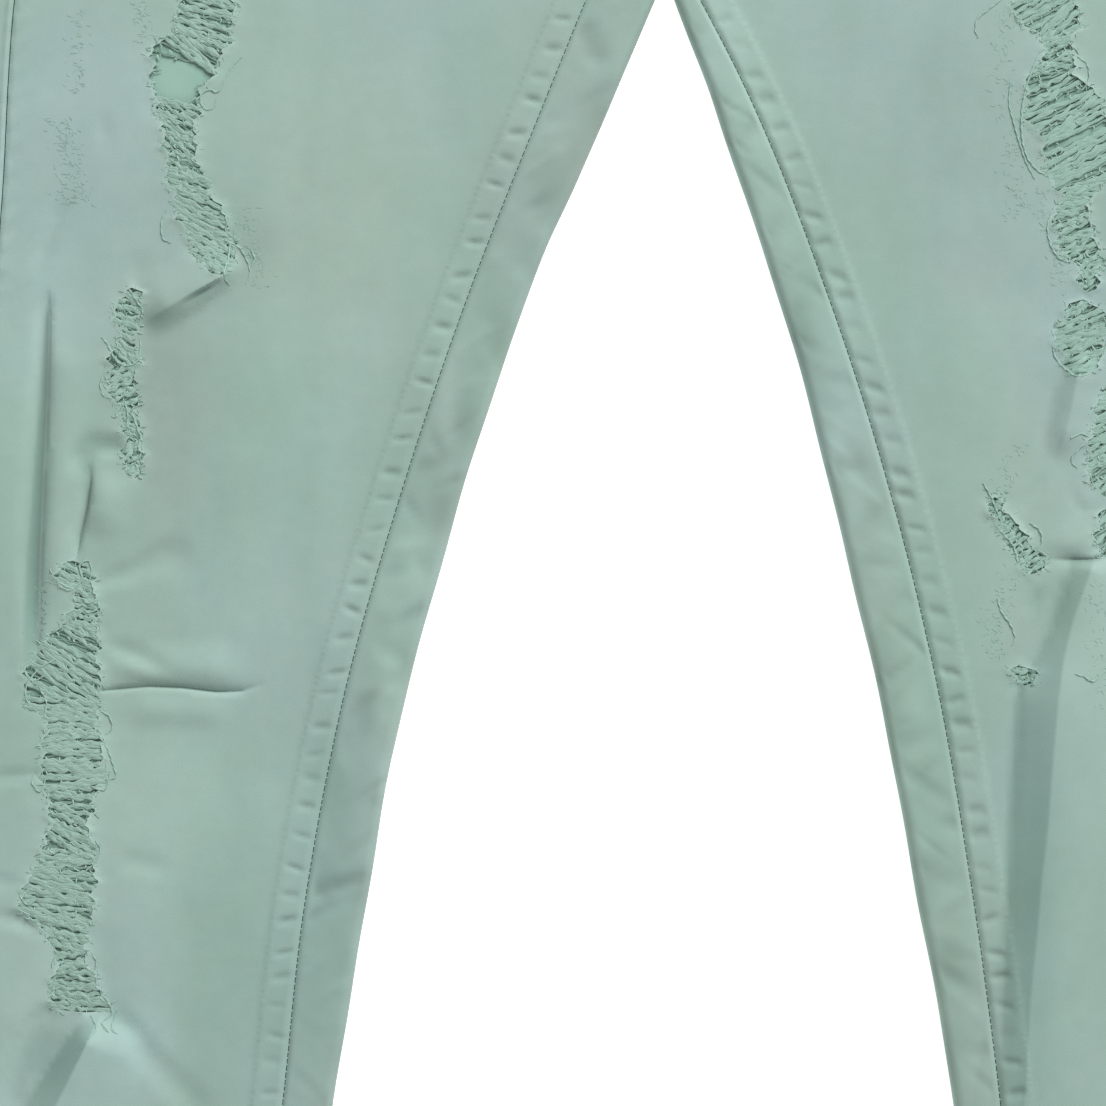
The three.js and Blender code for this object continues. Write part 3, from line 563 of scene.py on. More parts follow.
def back_sheet(leg, rows):
    """The points of a back at these levels. Columns run from the inseam over the inner roll, along
    the underside and over the outer roll to the side seam."""
    row = np.asarray(rows, float)[:, None]
    above = row > NOTCH[1]

    def rolled(y):
        return leg.inner(np.minimum(y, NOTCH[1])) + leg.away * ROLL

    def strip_x(y):
        end = np.where(above, crotch_seam(y) + leg.away * HALF_GAP, rolled(y))
        return mix(leg.inseam(np.minimum(y, CROSS[1])) - leg.away * HALF_GAP, end, STRIP_SHARES)

    def under_x(y):
        near = np.where(above, centre_back(y) + leg.away * HALF_GAP, rolled(y))
        far = leg.outer(y) - leg.away * ROLL
        return mix(near, far, np.linspace(0, 1, UNDER_COLUMNS + 1))

    def over_x(y):
        far = leg.seam(y) + leg.away * HALF_GAP
        return mix(leg.outer(y) - leg.away * ROLL, far, OVER_SHARES)

    def rolled_edge(edge, outwards, turn):
        y = row + hem_rise(leg, row, edge(row))
        centre = edge(y) - outwards * ROLL
        base, top = seat_lift(y), lie(leg, centre, y)
        x = centre + outwards * ROLL * np.cos(turn)
        return stacked(x, y + 0 * turn, (base + top) / 2 + (top - base) / 2 * np.sin(turn))

    def flat_part(x_at, y, z_at):
        x = x_at(y)
        return stacked(x, np.broadcast_to(y, x.shape), z_at(x, y))

    strip_y = np.minimum(front_level(leg, row, strip_x(row)), CROSS[1] - STRIP_TRIM)
    under_y = back_level(leg, row, under_x(row))
    over_y = front_level(leg, row, over_x(row))
    turn = np.linspace(math.pi / 2, -math.pi / 2, ROLL_COLUMNS + 1)[None, 1:-1]
    return np.concatenate([
        flat_part(strip_x, strip_y, lambda x, y: lie(leg, x, y) + inseam_wrinkles(leg, x, y)
                  + strip_dents(leg, x, y) - ditch(seam_distance(leg, x, y), 0.9, 1.8)),
        rolled_edge(lambda y: leg.inner(np.minimum(y, NOTCH[1])), -leg.away, turn),
        flat_part(under_x, under_y, lambda x, y: seat_lift(y)),
        rolled_edge(leg.outer, leg.away, turn[:, ::-1]),
        flat_part(over_x, over_y, lambda x, y: lie(leg, x, y) + side_roll(leg, x, y)),
    ], axis=1)


STRIP_END = len(STRIP_SHARES) - 1
INNER_ROLL_END = STRIP_END + ROLL_COLUMNS


def grid_triangles(rows, columns, keep=None):
    """Two triangles for each kept cell of a grid of points."""
    r, c = np.meshgrid(np.arange(rows - 1), np.arange(columns - 1), indexing="ij")
    if keep is not None:
        r, c = r[keep], c[keep]
    p = (r * columns + c).ravel()
    q = p + columns
    return np.concatenate([stacked(p, p + 1, q + 1), stacked(p, q + 1, q)])


def face_out(points, triangles, centre):
    """The triangles, turned over if they face the centre."""
    a, b, c = (points[triangles[:, k]] - centre for k in range(3))
    outward = np.einsum("ij,ij->i", a, np.cross(b, c)).sum() > 0
    return triangles if outward else triangles[:, ::-1]


def shell(points, triangles, wall):
    """Closes a sheet into cloth this thick; wall is one number, or one for each point."""
    count = len(points)
    a, b, c = (points[triangles[:, k]] for k in range(3))
    face = np.cross(b - a, c - a)
    normal = np.stack([sum(np.bincount(triangles[:, k], face[:, axis], count) for k in range(3))
                       for axis in range(3)], axis=1)
    normal /= np.maximum(np.linalg.norm(normal, axis=1), 1e-12)[:, None]
    inner = points - normal * np.reshape(wall, (-1, 1))
    edges = np.concatenate([triangles[:, [0, 1]], triangles[:, [1, 2]], triangles[:, [2, 0]]])
    _, first, uses = np.unique(edges.min(1) * count + edges.max(1), return_index=True, return_counts=True)
    start, end = edges[first[uses == 1]].T
    faces = [triangles, triangles[:, ::-1] + count, stacked(end, start, start + count),
             stacked(end, start + count, end + count)]
    return np.concatenate([points, inner]), np.concatenate(faces)


def closed_round(points, triangles, wall):
    """Cloth from a sheet that goes round its own middle."""
    return shell(points, face_out(points, triangles, points.mean(axis=0)), wall)


FAR_OFF = np.array((0, 0, 9000.0))


def closed_sheet(x, y, z, wall, down=False):
    """Cloth from a grid of points that faces up or down."""
    points = stacked(x, y, z).reshape(-1, 3)
    triangles = face_out(points, grid_triangles(*x.shape), FAR_OFF if down else -FAR_OFF)
    return shell(points, triangles, wall)


def placed(name, data):
    """A new object in the scene."""
    made = bpy.data.objects.new(name, data)
    bpy.context.scene.collection.objects.link(made)
    return made


def sew(name, points, triangles, material, replaced=(), values=None):
    """A piece of the garment from points in millimetres. values are numbers for each point."""
    used, triangles = np.unique(triangles, return_inverse=True)
    triangles = triangles.reshape(-1, 3)
    mesh = bpy.data.meshes.new(name)
    mesh.vertices.add(len(used))
    mesh.vertices.foreach_set("co", (points[used] * MM + CROTCH).ravel())
    mesh.loops.add(triangles.size)
    mesh.loops.foreach_set("vertex_index", triangles.ravel())
    mesh.polygons.add(len(triangles))
    mesh.polygons.foreach_set("loop_start", np.arange(0, triangles.size, 3))
    mesh.update(calc_edges=True)
    mesh.polygons.foreach_set("use_smooth", np.ones(len(triangles), bool))
    mesh.set_sharp_from_angle(angle=math.radians(55))
    for key, numbers in (values or {}).items():
        numbers = np.asarray(numbers, np.float32)[used]
        kind = "FLOAT" if numbers.ndim == 1 else "FLOAT_VECTOR"
        field = "value" if numbers.ndim == 1 else "vector"
        mesh.attributes.new(key, kind, "POINT").data.foreach_set(field, numbers.ravel())
    mesh.materials.append(material)
    piece = placed(name, mesh)
    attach(piece, "root")
    if replaced:
        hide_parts(*replaced)
    return piece


# Clouds of colour, listed one by one: some are clouds in the garment's dyeing, others are painted shade
# on fold banks, in hollows and round rips, and painted light on swells and over parts of the legs. Each is
# x, y, half-width, half-height and how much lighter or darker the cloth's red, green and blue are there.
DYE_AND_SHADE_CLOUDS = (
    (-215, -165, 20, 30, 0.96, 0.92, 0.92), (-208, -205, 13, 30, 0.97, 0.92, 0.93),
    (-180, -110, 14, 22, 0.92, 0.95, 0.93), (-160, -200, 24, 44, 0.94, 0.98, 0.96),
    (-250, -60, 34, 55, 1.02, 1.0, 1.04), (-228, -345, 26, 40, 1.05, 1.04, 1.05),
    (-192, -300, 30, 40, 1.02, 1.03, 1.03), (-150, -330, 22, 60, 0.96, 0.97, 0.96),
    (-170, -420, 40, 60, 0.93, 0.96, 0.95), (-130, -60, 34, 30, 1.02, 1.01, 0.98),
    (-66, -95, 14, 30, 1.0, 0.95, 0.97), (-95, -195, 18, 34, 0.95, 0.94, 0.95),
    (-140, -400, 16, 60, 0.88, 0.91, 0.9), (-273, -215, 12, 90, 0.95, 0.98, 0.96),
    (-40, -30, 26, 20, 0.98, 0.96, 0.95), (30, -60, 30, 40, 1.02, 1.02, 1.03),
    (60, -150, 18, 60, 0.93, 0.95, 0.94), (120, -110, 26, 60, 0.97, 0.98, 0.97),
    (110, -290, 18, 60, 0.91, 0.93, 0.91), (150, -230, 16, 34, 1.04, 1.02, 1.01),
    (130, -130, 14, 18, 1.03, 0.98, 1.0), (158, -400, 12, 90, 0.80, 0.86, 0.86),
    (125, -430, 14, 70, 0.93, 0.93, 0.92), (186, -400, 18, 80, 0.95, 0.96, 0.94),
    (-245, -465, 20, 20, 0.93, 0.94, 0.94), (190, -60, 20, 60, 0.98, 0.98, 0.98),
    (-262, -462, 9, 15, 0.80, 0.83, 0.83), (-228, -462, 12, 22, 1.06, 1.06, 1.07),
    (-197, -356, 30, 40, 1.08, 1.08, 1.09), (-176, -122, 16, 18, 0.9, 0.88, 0.89),
    (-36, -80, 14, 26, 0.94, 0.89, 0.87), (100, -156, 24, 40, 0.94, 0.96, 0.96),
    (-270, -190, 16, 60, 1.05, 1.05, 1.05), (-262, -420, 26, 60, 1.09, 1.08, 1.07),
    (-215, -460, 40, 30, 1.06, 1.06, 1.07), (-262, -70, 18, 60, 1.04, 1.04, 1.05),
    (120, -60, 40, 60, 0.94, 0.93, 0.94), (176, -150, 30, 60, 0.95, 0.94, 0.96),
    (138, -440, 20, 60, 0.93, 0.92, 0.93), (151, -283, 8, 16, 1.05, 1.0, 1.02),
    (92, -280, 10, 90, 0.94, 0.93, 0.92), (-198, -58, 30, 20, 1.04, 1.03, 1.04),
    (-238, -205, 8, 3.2, 0.84, 0.88, 0.86), (-245.5, -212, 3.6, 8, 0.85, 0.89, 0.87),
    (-236, -220, 8, 8, 1.04, 1.03, 1.04), (-49, -100, 7, 15, 0.86, 0.87, 0.86),
    (-57, -124, 6, 10, 0.9, 0.9, 0.89), (-70, -158, 6, 14, 0.88, 0.9, 0.88),
    (-84, -192, 5, 9, 0.9, 0.92, 0.9), (-28, -62, 7, 9, 0.92, 0.9, 0.88),
    (-127, -300, 6, 22, 0.92, 0.93, 0.92), (-140, -352, 8, 16, 0.9, 0.92, 0.9),
    (46, -92, 7, 16, 0.9, 0.92, 0.9), (88, -232, 7, 20, 0.92, 0.93, 0.92),
    (112, -352, 7, 22, 0.9, 0.92, 0.9), (124, -420, 7, 20, 0.92, 0.93, 0.92),
    (-91, -186, 5, 24, 1.2, 1.15, 1.18), (-104, -254, 8, 15, 1.17, 1.18, 1.15),
    (-116, -306, 9, 30, 1.1, 1.1, 1.06), (-86, -199, 5, 8, 0.88, 0.88, 0.88),
    (-95, -232, 6, 11, 0.86, 0.85, 0.84), (170, -272, 8, 14, 0.84, 0.86, 0.83),
    (-143, -122, 34, 50, 1.09, 1.04, 1.03), (-252, -152, 14, 14, 1.12, 1.1, 1.11),
    (60, -160, 9, 56, 0.85, 0.87, 0.85), (106, -318, 9, 40, 1.11, 1.1, 1.1),
    (118, -381, 8, 13, 0.88, 0.9, 0.9), (-272, -441, 10, 14, 1.1, 1.08, 1.08),
    (-197, -142, 6, 3.6, 0.86, 0.89, 0.87), (-207, -148, 7, 3.8, 0.85, 0.89, 0.87),
    (-216, -153, 6, 4.2, 0.87, 0.91, 0.89), (158.5, -271, 3.2, 7, 0.86, 0.9, 0.88),
)


# Painted shade on the banks of the deep folds: strength, its two sides and its ends.
BANKS = (
    (0.09, through((-545, 138), (-486, 142.5), (-441, 144.5), (-411, 146), (-381, 146.4), (-356, 147.5),
        (-330, 149), (-311, 150), (-304.7, 152.4), (-290, 160.8), (-275, 167.4), (-254, 174)),
        through((-545, 149), (-486, 153), (-432, 156), (-411, 158.5), (-390, 160.2), (-368.5, 162.8),
        (-337, 165), (-313, 167), (-296, 169.3), (-279, 173.5), (-254, 182.5)), -545, -252),
    (0.18, through((-520, -287), (-486, -271), (-469, -261), (-453, -250), (-446, -242)),
        through((-520, -273), (-506, -267), (-486, -257.5), (-469, -249), (-453.5, -241.5), (-446, -238.5)),
        -520, -447),
    (0.19, through((-330, -271.5), (-268, -271.5), (-228, -268.5), (-186, -265.4), (-140, -262)),
        through((-330, -266), (-271, -266), (-252, -265.6), (-232, -264.8), (-207, -263.6), (-186, -262.7),
        (-140, -261.4)), -330, -142),
)


def bank_shade(x, y):
    """How strongly painted shade darkens the banks of the deep folds."""
    total = np.zeros(np.shape(x))
    for strength, from_x, to_x, low_y, high_y in BANKS:
        across = ease(x, from_x(y) - 0.9, from_x(y) + 0.9) * ease(x, to_x(y) + 0.9, to_x(y) - 0.9)
        total += strength * across * ease(y, low_y, low_y + 60) * ease(y, high_y + 2, high_y - 6)
    return total


# Painted shade along the right leg's rolled inner edge and painted light along the left's: how much its
# red, green and blue are multiplied there.
RIM_SHADE_AND_LIGHT = {"right": (0.90, 0.84, 0.86), "left": (1.22, 1.2, 1.2)}


def dye_and_shade(points):
    """How the cloth's colour shifts at each point, with clouds and with painted shade and light."""
    shift = np.ones((len(points), 3))
    x, y = points[:, 0], points[:, 1]
    for cx, cy, wide, tall, *colour in DYE_AND_SHADE_CLOUDS:
        here = np.exp(-((x - cx) / wide) ** 2 - ((y - cy) / tall) ** 2)
        shift *= 1 + here[:, None] * (np.array(colour) - 1)
    for leg in LEGS:
        from_edge = (x - leg.inner(y)) * leg.away
        # painted shade or painted light on the rolled inner edge
        rim = bell(from_edge, 1.7) * (y < NOTCH[1]) * (from_edge > -4)
        shift *= 1 + rim[:, None] * (np.array(RIM_SHADE_AND_LIGHT[leg.side]) - 1)
        # painted shade in a wavy band beside each leg's inner edge
        edge_shade = bell(from_edge, 9) * (y < NOTCH[1]) * (
            0.5 + 0.3 * np.sin(y / 13 + from_edge / 5) + 0.3 * np.sin(y / 5.3 - from_edge / 3 + 1.7))
        shift *= 1 + edge_shade[:, None] * (np.array((0.9, 0.89, 0.88)) - 1)
    # darkened by the painted shade of the fold banks
    return shift * (1 - bank_shade(x, y)[:, None] * (1.25, 0.9, 1.0))


def sew_denim(name, points, triangles, worn=0.0, painted_shade_and_light=1.0):
    """A piece of denim; worn, and the painted shade that scales its colour, are one number, or one for each
    point.
    """
    values = {"dye_and_shade": dye_and_shade(points) * np.reshape(painted_shade_and_light, (-1, 1)), "worn": np.broadcast_to(worn, len(points))}
    return sew(name, points, triangles, denim, [name], values)


BOTTOM = HEM + HEM_BAND + SEAM_GAP
back_rows = levels((BOTTOM, 8), (IN_VIEW[0], 2.5), (NOTCH[1], 2), (CROSS[1], 6),
                   (YOKE_SEAM - SEAM_GAP, 1))
for leg in LEGS:
    points = back_sheet(leg, back_rows)
    rows, columns, _ = points.shape
    level, column = np.meshgrid(back_rows[:-1], np.arange(columns - 1), indexing="ij")
    keep = np.where(column < STRIP_END, level < CROSS[1], (column >= INNER_ROLL_END) | (level < NOTCH[1]))
    points, triangles = closed_round(points.reshape(-1, 3), grid_triangles(rows, columns, keep), WALL)
    # the strip's dents darken its colour as painted shade, and its small rises lighten it a little as
    # painted light
    crumpled = np.where(points[:, 2] > 2.5, strip_dents(leg, points[:, 0], points[:, 1]), 0)
    back = sew_denim(f"back_{leg.side}", points, triangles, painted_shade_and_light=np.clip(1 + 0.18 * crumpled, 0.77, 1.04))

# ----------------------------------------
# Fronts
# A front is one flat panel from hem to waist, cut away at the pocket mouth and worn through in long
# rips. It is sewn to the back at the inseam with a plain seam, pressed towards the front, whose
# overlocked allowance shows through as a low band with a row of puckers.

FLY_END = 80
FLAP = 8
FLAP_LIFT = 2.2
MOUTH = (108, 66)             # half-axes of the pocket mouth, about the corner of waist and side seams
FINEST = 1.2                  # spacing of points beside seams and rips; elsewhere 2, 4 times as much


def front_inner(leg, y):
    """x of a front's inner boundary: the inseam, and above the cross seam the centre front."""
    lap = FLAP * ease(y, FLY_END, FLY_END + 20) if leg is left else 0
    low = leg.inseam(np.minimum(y, CROSS[1]))
    return np.where(y < CROSS[1], low, centre_front(y) - lap) + leg.away * HALF_GAP


def front_outer(leg, y):
    return leg.seam(y) - leg.away * HALF_GAP


# The rips: (y, x of the edge at -X, x of the edge at +X), from the top down.
RIPS = {
    "rip_right_thigh": (right, ((14, -201, -190), (0, -204, -184), (-16, -205, -183), (-30, -208, -184),
        (-36, -216, -186), (-44, -217, -190), (-56, -216, -197), (-64, -214, -198), (-80, -211, -199),
        (-94, -209, -194), (-107, -206, -187), (-122, -199, -182), (-133, -192, -185))),
    "rip_right_middle": (right, ((-138, -226.5, -223), (-147, -233, -222), (-158, -230, -225),
        (-169, -235, -223.5), (-184, -234, -224), (-195, -229, -223), (-207, -229, -221.5),
        (-219, -226, -223))),
    "rip_right_knee": (right, ((-254, -254, -247), (-261, -257, -243), (-271, -249, -241),
        (-281, -256, -241), (-300, -270, -240), (-313, -270, -240), (-321, -262, -241), (-343, -264, -238),
        (-363, -260, -244), (-383, -265, -242), (-399, -273, -242), (-419, -258, -246), (-441, -260, -237),
        (-446, -259, -232))),
    "rip_left_thigh": (left, ((12, 158, 168), (-3, 151, 175), (-16, 148, 176), (-25, 153, 176),
        (-36, 163, 173), (-48, 156, 176), (-57, 155, 185), (-67, 155, 188), (-76, 162, 191),
        (-88, 164, 191), (-99, 169, 182), (-111, 166, 181), (-120, 169, 185), (-130, 176, 186),
        (-140, 178, 184))),
    "rip_left_low_thigh": (left, ((-143, 175, 182), (-150, 170, 188), (-160, 167, 187), (-170, 171, 185),
        (-176, 174, 181))),
    "rip_left_edge": (left, ((-178, 188, 199), (-191, 184, 199), (-203, 182, 196), (-215, 181, 192),
        (-227, 185, 194))),
    "rip_left_slit": (left, ((-231, 187, 194), (-241, 184, 197), (-254, 187, 198))),
    "rip_left_knee": (left, ((-227, 138, 142), (-237, 141, 149), (-245, 146, 155), (-254, 152, 162),
        (-260, 152, 160))),
    "rip_left_patch": (left, ((-298.5, 149, 154), (-301, 148, 157), (-304, 149, 158), (-307, 151, 156))),
}


class Rip:
    """A hole worn through a front, between two ragged edges."""

    def __init__(self, name, leg, stations):
        rising = stations[::-1]
        self.name, self.leg = name, leg
        self.top, self.foot = stations[0][0], stations[-1][0]
        self.low_line = through(*((y, low) for y, low, _ in rising))
        self.high_line = through(*((y, high) for y, _, high in rising))
        self.phases = draw.uniform(0, TURN, (2, 4))

    def ragged(self, y, phases):
        """How far an edge strays from its line: frayed notches between small tongues."""
        waves = ((14.3, 0.9), (7.7, 0.8), (4.3, 0.6), (2.3, 0.4))
        return sum(lift * np.sin(y * TURN / wave + phase) for (wave, lift), phase in zip(waves, phases))

    def edges(self, y):
        """x of the two edges at y; they meet at the rip's ends."""
        y = np.clip(y, self.foot, self.top)
        low = self.low_line(y) + self.ragged(y, self.phases[0])
        high = self.high_line(y) + self.ragged(y, self.phases[1])
        near_end = np.clip(np.minimum(self.top - y, y - self.foot) / 3.5, 0, 1)
        round_off = np.sqrt(1 - (1 - near_end) ** 2)
        middle, half = (low + high) / 2, (high - low) / 2 * round_off
        return middle - half, middle + half

    def loop(self, step=0.9):
        y = np.linspace(self.top, self.foot, round((self.top - self.foot) / step))
        low, high = self.edges(y)
        down, up = stacked(low, y), stacked(high, y)[::-1]
        return np.concatenate([down, up[1:-1]])

    def distance(self, x, y):
        """How far a point of the cloth is from the rip; 0 inside it."""
        low, high = self.edges(y)
        aside = np.maximum(np.maximum(low - x, x - high), 0)
        return np.hypot(aside, np.maximum(np.maximum(y - self.top, self.foot - y), 0))


rips = [Rip(name, leg, stations) for name, (leg, stations) in RIPS.items()]


def nearest_rip(leg, x, y):
    found = np.full(np.shape(x), 99.0)
    for rip in rips:
        if rip.leg is leg:
            found = np.minimum(found, rip.distance(x, y))
    return found


PUCKER_PITCH = 12
PUCKERS = {leg.side: [(level, *draw.uniform((0.3, 5.0, narrow, -0.3), (1.05, 6.6, wide, 0.4)))
                      for level in np.arange(24, HEM, -PUCKER_PITCH) + draw.uniform(-1.8, 1.8, 68)]
           for leg, narrow, wide in ((right, 1.0, 1.9), (left, 1.5, 2.7))}
ALLOWANCE = 12.5


def seam_relief(leg, x, y):
    """The inseam seen from the front: its ditch, its raised allowance and the row of puckers."""
    d = seam_distance(leg, x, y)
    total = 0.45 * ease(d, 0.5, 2.5) * ease(d, ALLOWANCE + 1.2, ALLOWANCE - 0.6)
    for level, depth, middle, width, tilt in PUCKERS[leg.side]:
        along = np.abs(y - level - tilt * (d - middle)) / width
        across = np.abs(d - middle) / 3.6
        near = (along < 3) & (across < 2.2)
        total = total - np.where(near, depth * np.exp(-along ** 2 - across ** 4), 0)
    total = total + 0.12 * np.sin(y * TURN / 2.6) * bell(d - ALLOWANCE + 0.8, 0.8)
    return total * ease(y, CROSS[1], CROSS[1] - 25) - ditch(d, 0.9, 1.8) * (y < CROSS[1])


def pucker_shade(leg, x, y):
    """How strongly painted shade darkens the puckers, with darker dots along the allowance's edge, from 0
    to 1.
    """
    d = seam_distance(leg, x, y)
    total = np.zeros(np.shape(x))
    for level, depth, middle, width, tilt in PUCKERS[leg.side]:
        along = np.abs(y - level - tilt * (d - middle) - 0.4) / width
        total = np.maximum(total, depth / 1.7 * np.exp(-along ** 2 - (np.abs(d - middle) / 3.0) ** 2))
    dots = np.clip(np.sin(y * TURN / 3.1), 0, 1) * bell(d - ALLOWANCE, 0.7)
    return np.maximum(total, 0.5 * dots) * (y < CROSS[1])


def core_shade(leg, x, y):
    """How strongly painted shade darkens the cores of the sharp valleys, from 0 to 1."""
    total = np.zeros(np.shape(x))
    for crease in CREASES[leg.side]:
        if crease[0] < 0 and crease[1] >= 0.5:
            total = np.maximum(total, (crease_height(crease, x, y) / crease[0]) ** 3)
    return total


def side_relief(leg, x, y):
    """The front beside the side seam: it dips under the back's folded edge and is drawn into slants."""
    d = np.abs(x - leg.seam(y))
    rope = np.sin((y - 1.2 * d) * TURN / 10.5) * ease(d, 0.5, 2.5) * ease(d, 13, 3)
    return 0.22 * rope - ditch(d, 0.9, 1.3)


CURLS = draw.uniform(0, TURN, 6)


def rip_relief(x, y, d):
    """Cloth round a rip: its edge curls up or down and small ripples run out from it."""
    curl = 0.55 + 0.5 * np.sin(y / 5.1 + CURLS[0]) + 0.45 * np.sin(y / 2.7 + x / 6 + CURLS[1])
    ripple = np.sin(y / 2.1 + x / 9 + CURLS[2]) + 0.7 * np.sin(y / 3.4 - x / 7 + CURLS[3])
    return curl * 0.5 * bell(d, 2.2) + 0.12 * ripple * np.exp(-d / 6) * ease(d, 0, 2)


def front_height(leg, x, y):
    d = nearest_rip(leg, x, y)
    height = lie(leg, x, y) + seam_relief(leg, x, y) + side_relief(leg, x, y)
    height = height + rip_relief(x, y, d)
    if leg is left:
        height = height + FLAP_LIFT * ease(y, FLY_END - 46, FLY_END - 18) * ease(
            x - centre_front(y), 46, 12)
    return height


def mouth_corner(leg):
    return leg.seam(BAND_SEAM), BAND_SEAM


def in_mouth(leg, x, y, margin=0.0):
    cx, cy = mouth_corner(leg)
    return ((x - cx) / (MOUTH[0] + margin)) ** 2 + ((y - cy) / (MOUTH[1] + margin)) ** 2 < 1


def mouth_arc(leg, inset, count):
    """Places along the pocket mouth, or this far outside it."""
    cx, cy = mouth_corner(leg)
    turn = np.linspace(-math.pi, 0, count)
    x = cx - leg.away * (MOUTH[0] + inset) * np.cos(turn)
    return stacked(x, cy + (MOUTH[1] + inset) * np.sin(turn))


def front_outline(leg):
    """The outline of a front's pattern piece, closed, with points close together where it shows."""
    def row_line(level, shares):
        x = mix(front_inner(leg, level), front_outer(leg, level), shares)
        y = front_level(leg, level, x)
        return stacked(mix(front_inner(leg, y), front_outer(leg, y), shares), y)

    side_y = levels((BOTTOM, 5), (IN_VIEW[0], 1.2), (IN_VIEW[1], 3), (BAND_SEAM, 1))[1:]
    side = stacked(front_outer(leg, side_y), side_y)
    side[:, 1] += hem_rise(leg, side_y, side[:, 0])
    side = side[~in_mouth(leg, side[:, 0], side[:, 1], 0.5)]
    mouth = mouth_arc(leg, 0, 160)
    inside = (mouth[:, 0] - front_outer(leg, mouth[:, 1])) * leg.away < -0.8
    under_waist = mouth[:, 1] < front_level(leg, BAND_SEAM, mouth[:, 0]) - 0.8
    mouth = mouth[inside & under_waist]
    waist = row_line(BAND_SEAM, np.linspace(1, 0, 90))
    waist = waist[~in_mouth(leg, waist[:, 0], waist[:, 1], 0.8)]
    inner_y = levels((BOTTOM, 4), (IN_VIEW[0], 1.1), (CROSS[1], 3), (BAND_SEAM - FRONT_DIP, 1))[::-1]
    inner = stacked(front_inner(leg, inner_y), inner_y)[1:-1]
    bottom = row_line(BOTTOM, np.linspace(0, 1, 60))
    return np.concatenate([bottom, side, mouth, waist, inner])


def front_spacing(leg, x, y):
    """How many times the finest spacing the cloth needs at (x, y)."""
    seen = (y > IN_VIEW[0]) & (y < IN_VIEW[1])
    many = np.where(seen, 2, 4)
    many = np.where((seam_distance(leg, x, y) < 14) & (y < CROSS[1]), np.where(seen, 1, 2), many)
    many = np.where((np.abs(x - leg.seam(y)) < 6) & (y > -130) & seen, 1, many)
    for crease in CREASES[leg.side]:
        if crease[1] >= 0.5:
            many = np.where(seen & (np.abs(crease_height(crease, x, y)) > 0.1), 1, many)
    return np.where(nearest_rip(leg, x, y) < 4.5, 1, many)


CREASE_ROWS = (-1.5, -0.75, 0, 0.75, 1.5)


def crease_rows(path):
    """Places in close rows along a sharp crease, so that it comes out crisp."""
    rows = []
    for (x0, y0, *_), (x1, y1, *_) in zip(path, path[1:]):
        length = math.hypot(x1 - x0, y1 - y0)
        t = (np.arange(math.ceil(length)) + 0.5) / math.ceil(length)
        for aside in CREASE_ROWS:
            rows.append(stacked(mix(x0, x1, t) - aside * (y1 - y0) / length,
                                mix(y0, y1, t) + aside * (x1 - x0) / length))
    return np.concatenate(rows)


def within_front(leg, x, y, margin):
    """Which places lie on a front, this far inside its outline and outside its rips."""
    across = np.minimum((x - front_inner(leg, y)) * leg.away, (front_outer(leg, y) - x) * leg.away)
    inside = (across > margin) & ~in_mouth(leg, x, y, margin)
    inside &= y > front_level(leg, BOTTOM, x) + margin
    inside &= y < front_level(leg, BAND_SEAM, x) - margin
    inside[inside] = nearest_rip(leg, x[inside], y[inside]) > margin
    return inside


def front_panel(leg):
    """A front's points and triangles, seen from above, with its rips cut out."""
    loops = [front_outline(leg)] + [rip.loop() for rip in rips if rip.leg is leg]
    low, high = loops[0].min(axis=0), loops[0].max(axis=0)
    i, j = np.meshgrid(*(np.arange(math.ceil(span / FINEST)) for span in high - low), indexing="ij")
    i, j = i.ravel(), j.ravel()
    x, y = low[0] + i * FINEST, low[1] + j * FINEST
    margin = 0.6 * FINEST
    inside = within_front(leg, x, y, margin)
    i, j, x, y = i[inside], j[inside], x[inside], y[inside]
    many = front_spacing(leg, x, y)
    keep = (i % many == 0) & (j % many == 0)
    x, y = x[keep], y[keep]
    rows = []
    for _, sharpness, path in CREASES[leg.side]:
        if abs(sharpness) >= 0.5 and path[0][1] > IN_VIEW[0]:
            beside = to_crease(path, x, y)[0] > CREASE_ROWS[-1] + 0.5
            x, y = x[beside], y[beside]
            rows.append(crease_rows(path))
    jitter = draw.uniform(-0.18, 0.18, (len(x), 2)) * FINEST
    rows = np.concatenate(rows)
    rows = rows[within_front(leg, *rows.T, margin)]
    flat = np.concatenate([*loops, stacked(x, y) + jitter, rows])
    edges, start = [], 0
    for loop in loops:
        ring = np.arange(start, start + len(loop))
        edges += list(zip(ring.tolist(), np.roll(ring, -1).tolist()))
        start += len(loop)
    found = delaunay_2d_cdt([Vector(p) for p in flat.tolist()], edges, [], 0, 1e-4, False)
    flat = np.array([tuple(p) for p in found[0]])
    triangles = np.array([face for face in found[2] if len(face) == 3])
    a, b, c = (flat[triangles[:, k]] for k in range(3))
    middle = (a + b + c) / 3
    kept = inside_loop(loops[0], middle)
    for loop in loops[1:]:
        kept &= ~inside_loop(loop, middle)
    triangles = triangles[kept]
    a, b, c = (flat[triangles[:, k]] for k in range(3))
    turned = np.cross(b - a, c - a) < 0
    triangles[turned] = triangles[turned, ::-1]
    return flat, triangles


def inside_loop(loop, places):
    """Which places lie inside a closed loop, by counting the edges to their right."""
    box_low, box_high = loop.min(axis=0), loop.max(axis=0)
    near = np.flatnonzero(((places > box_low) & (places < box_high)).all(axis=1))
    odd = np.zeros(len(near), bool)
    x, y = places[near].T
    order = np.argsort(y)
    x, y = x[order], y[order]
    for (x0, y0), (x1, y1) in zip(loop, np.roll(loop, -1, axis=0)):
        first, last = np.searchsorted(y, sorted((y0, y1)))
        if first < last:
            crossing = x0 + (y[first:last] - y0) * (x1 - x0) / (y1 - y0)
            odd[first:last] ^= x[first:last] < crossing
    result = np.zeros(len(places), bool)
    result[near[order]] = odd
    return result


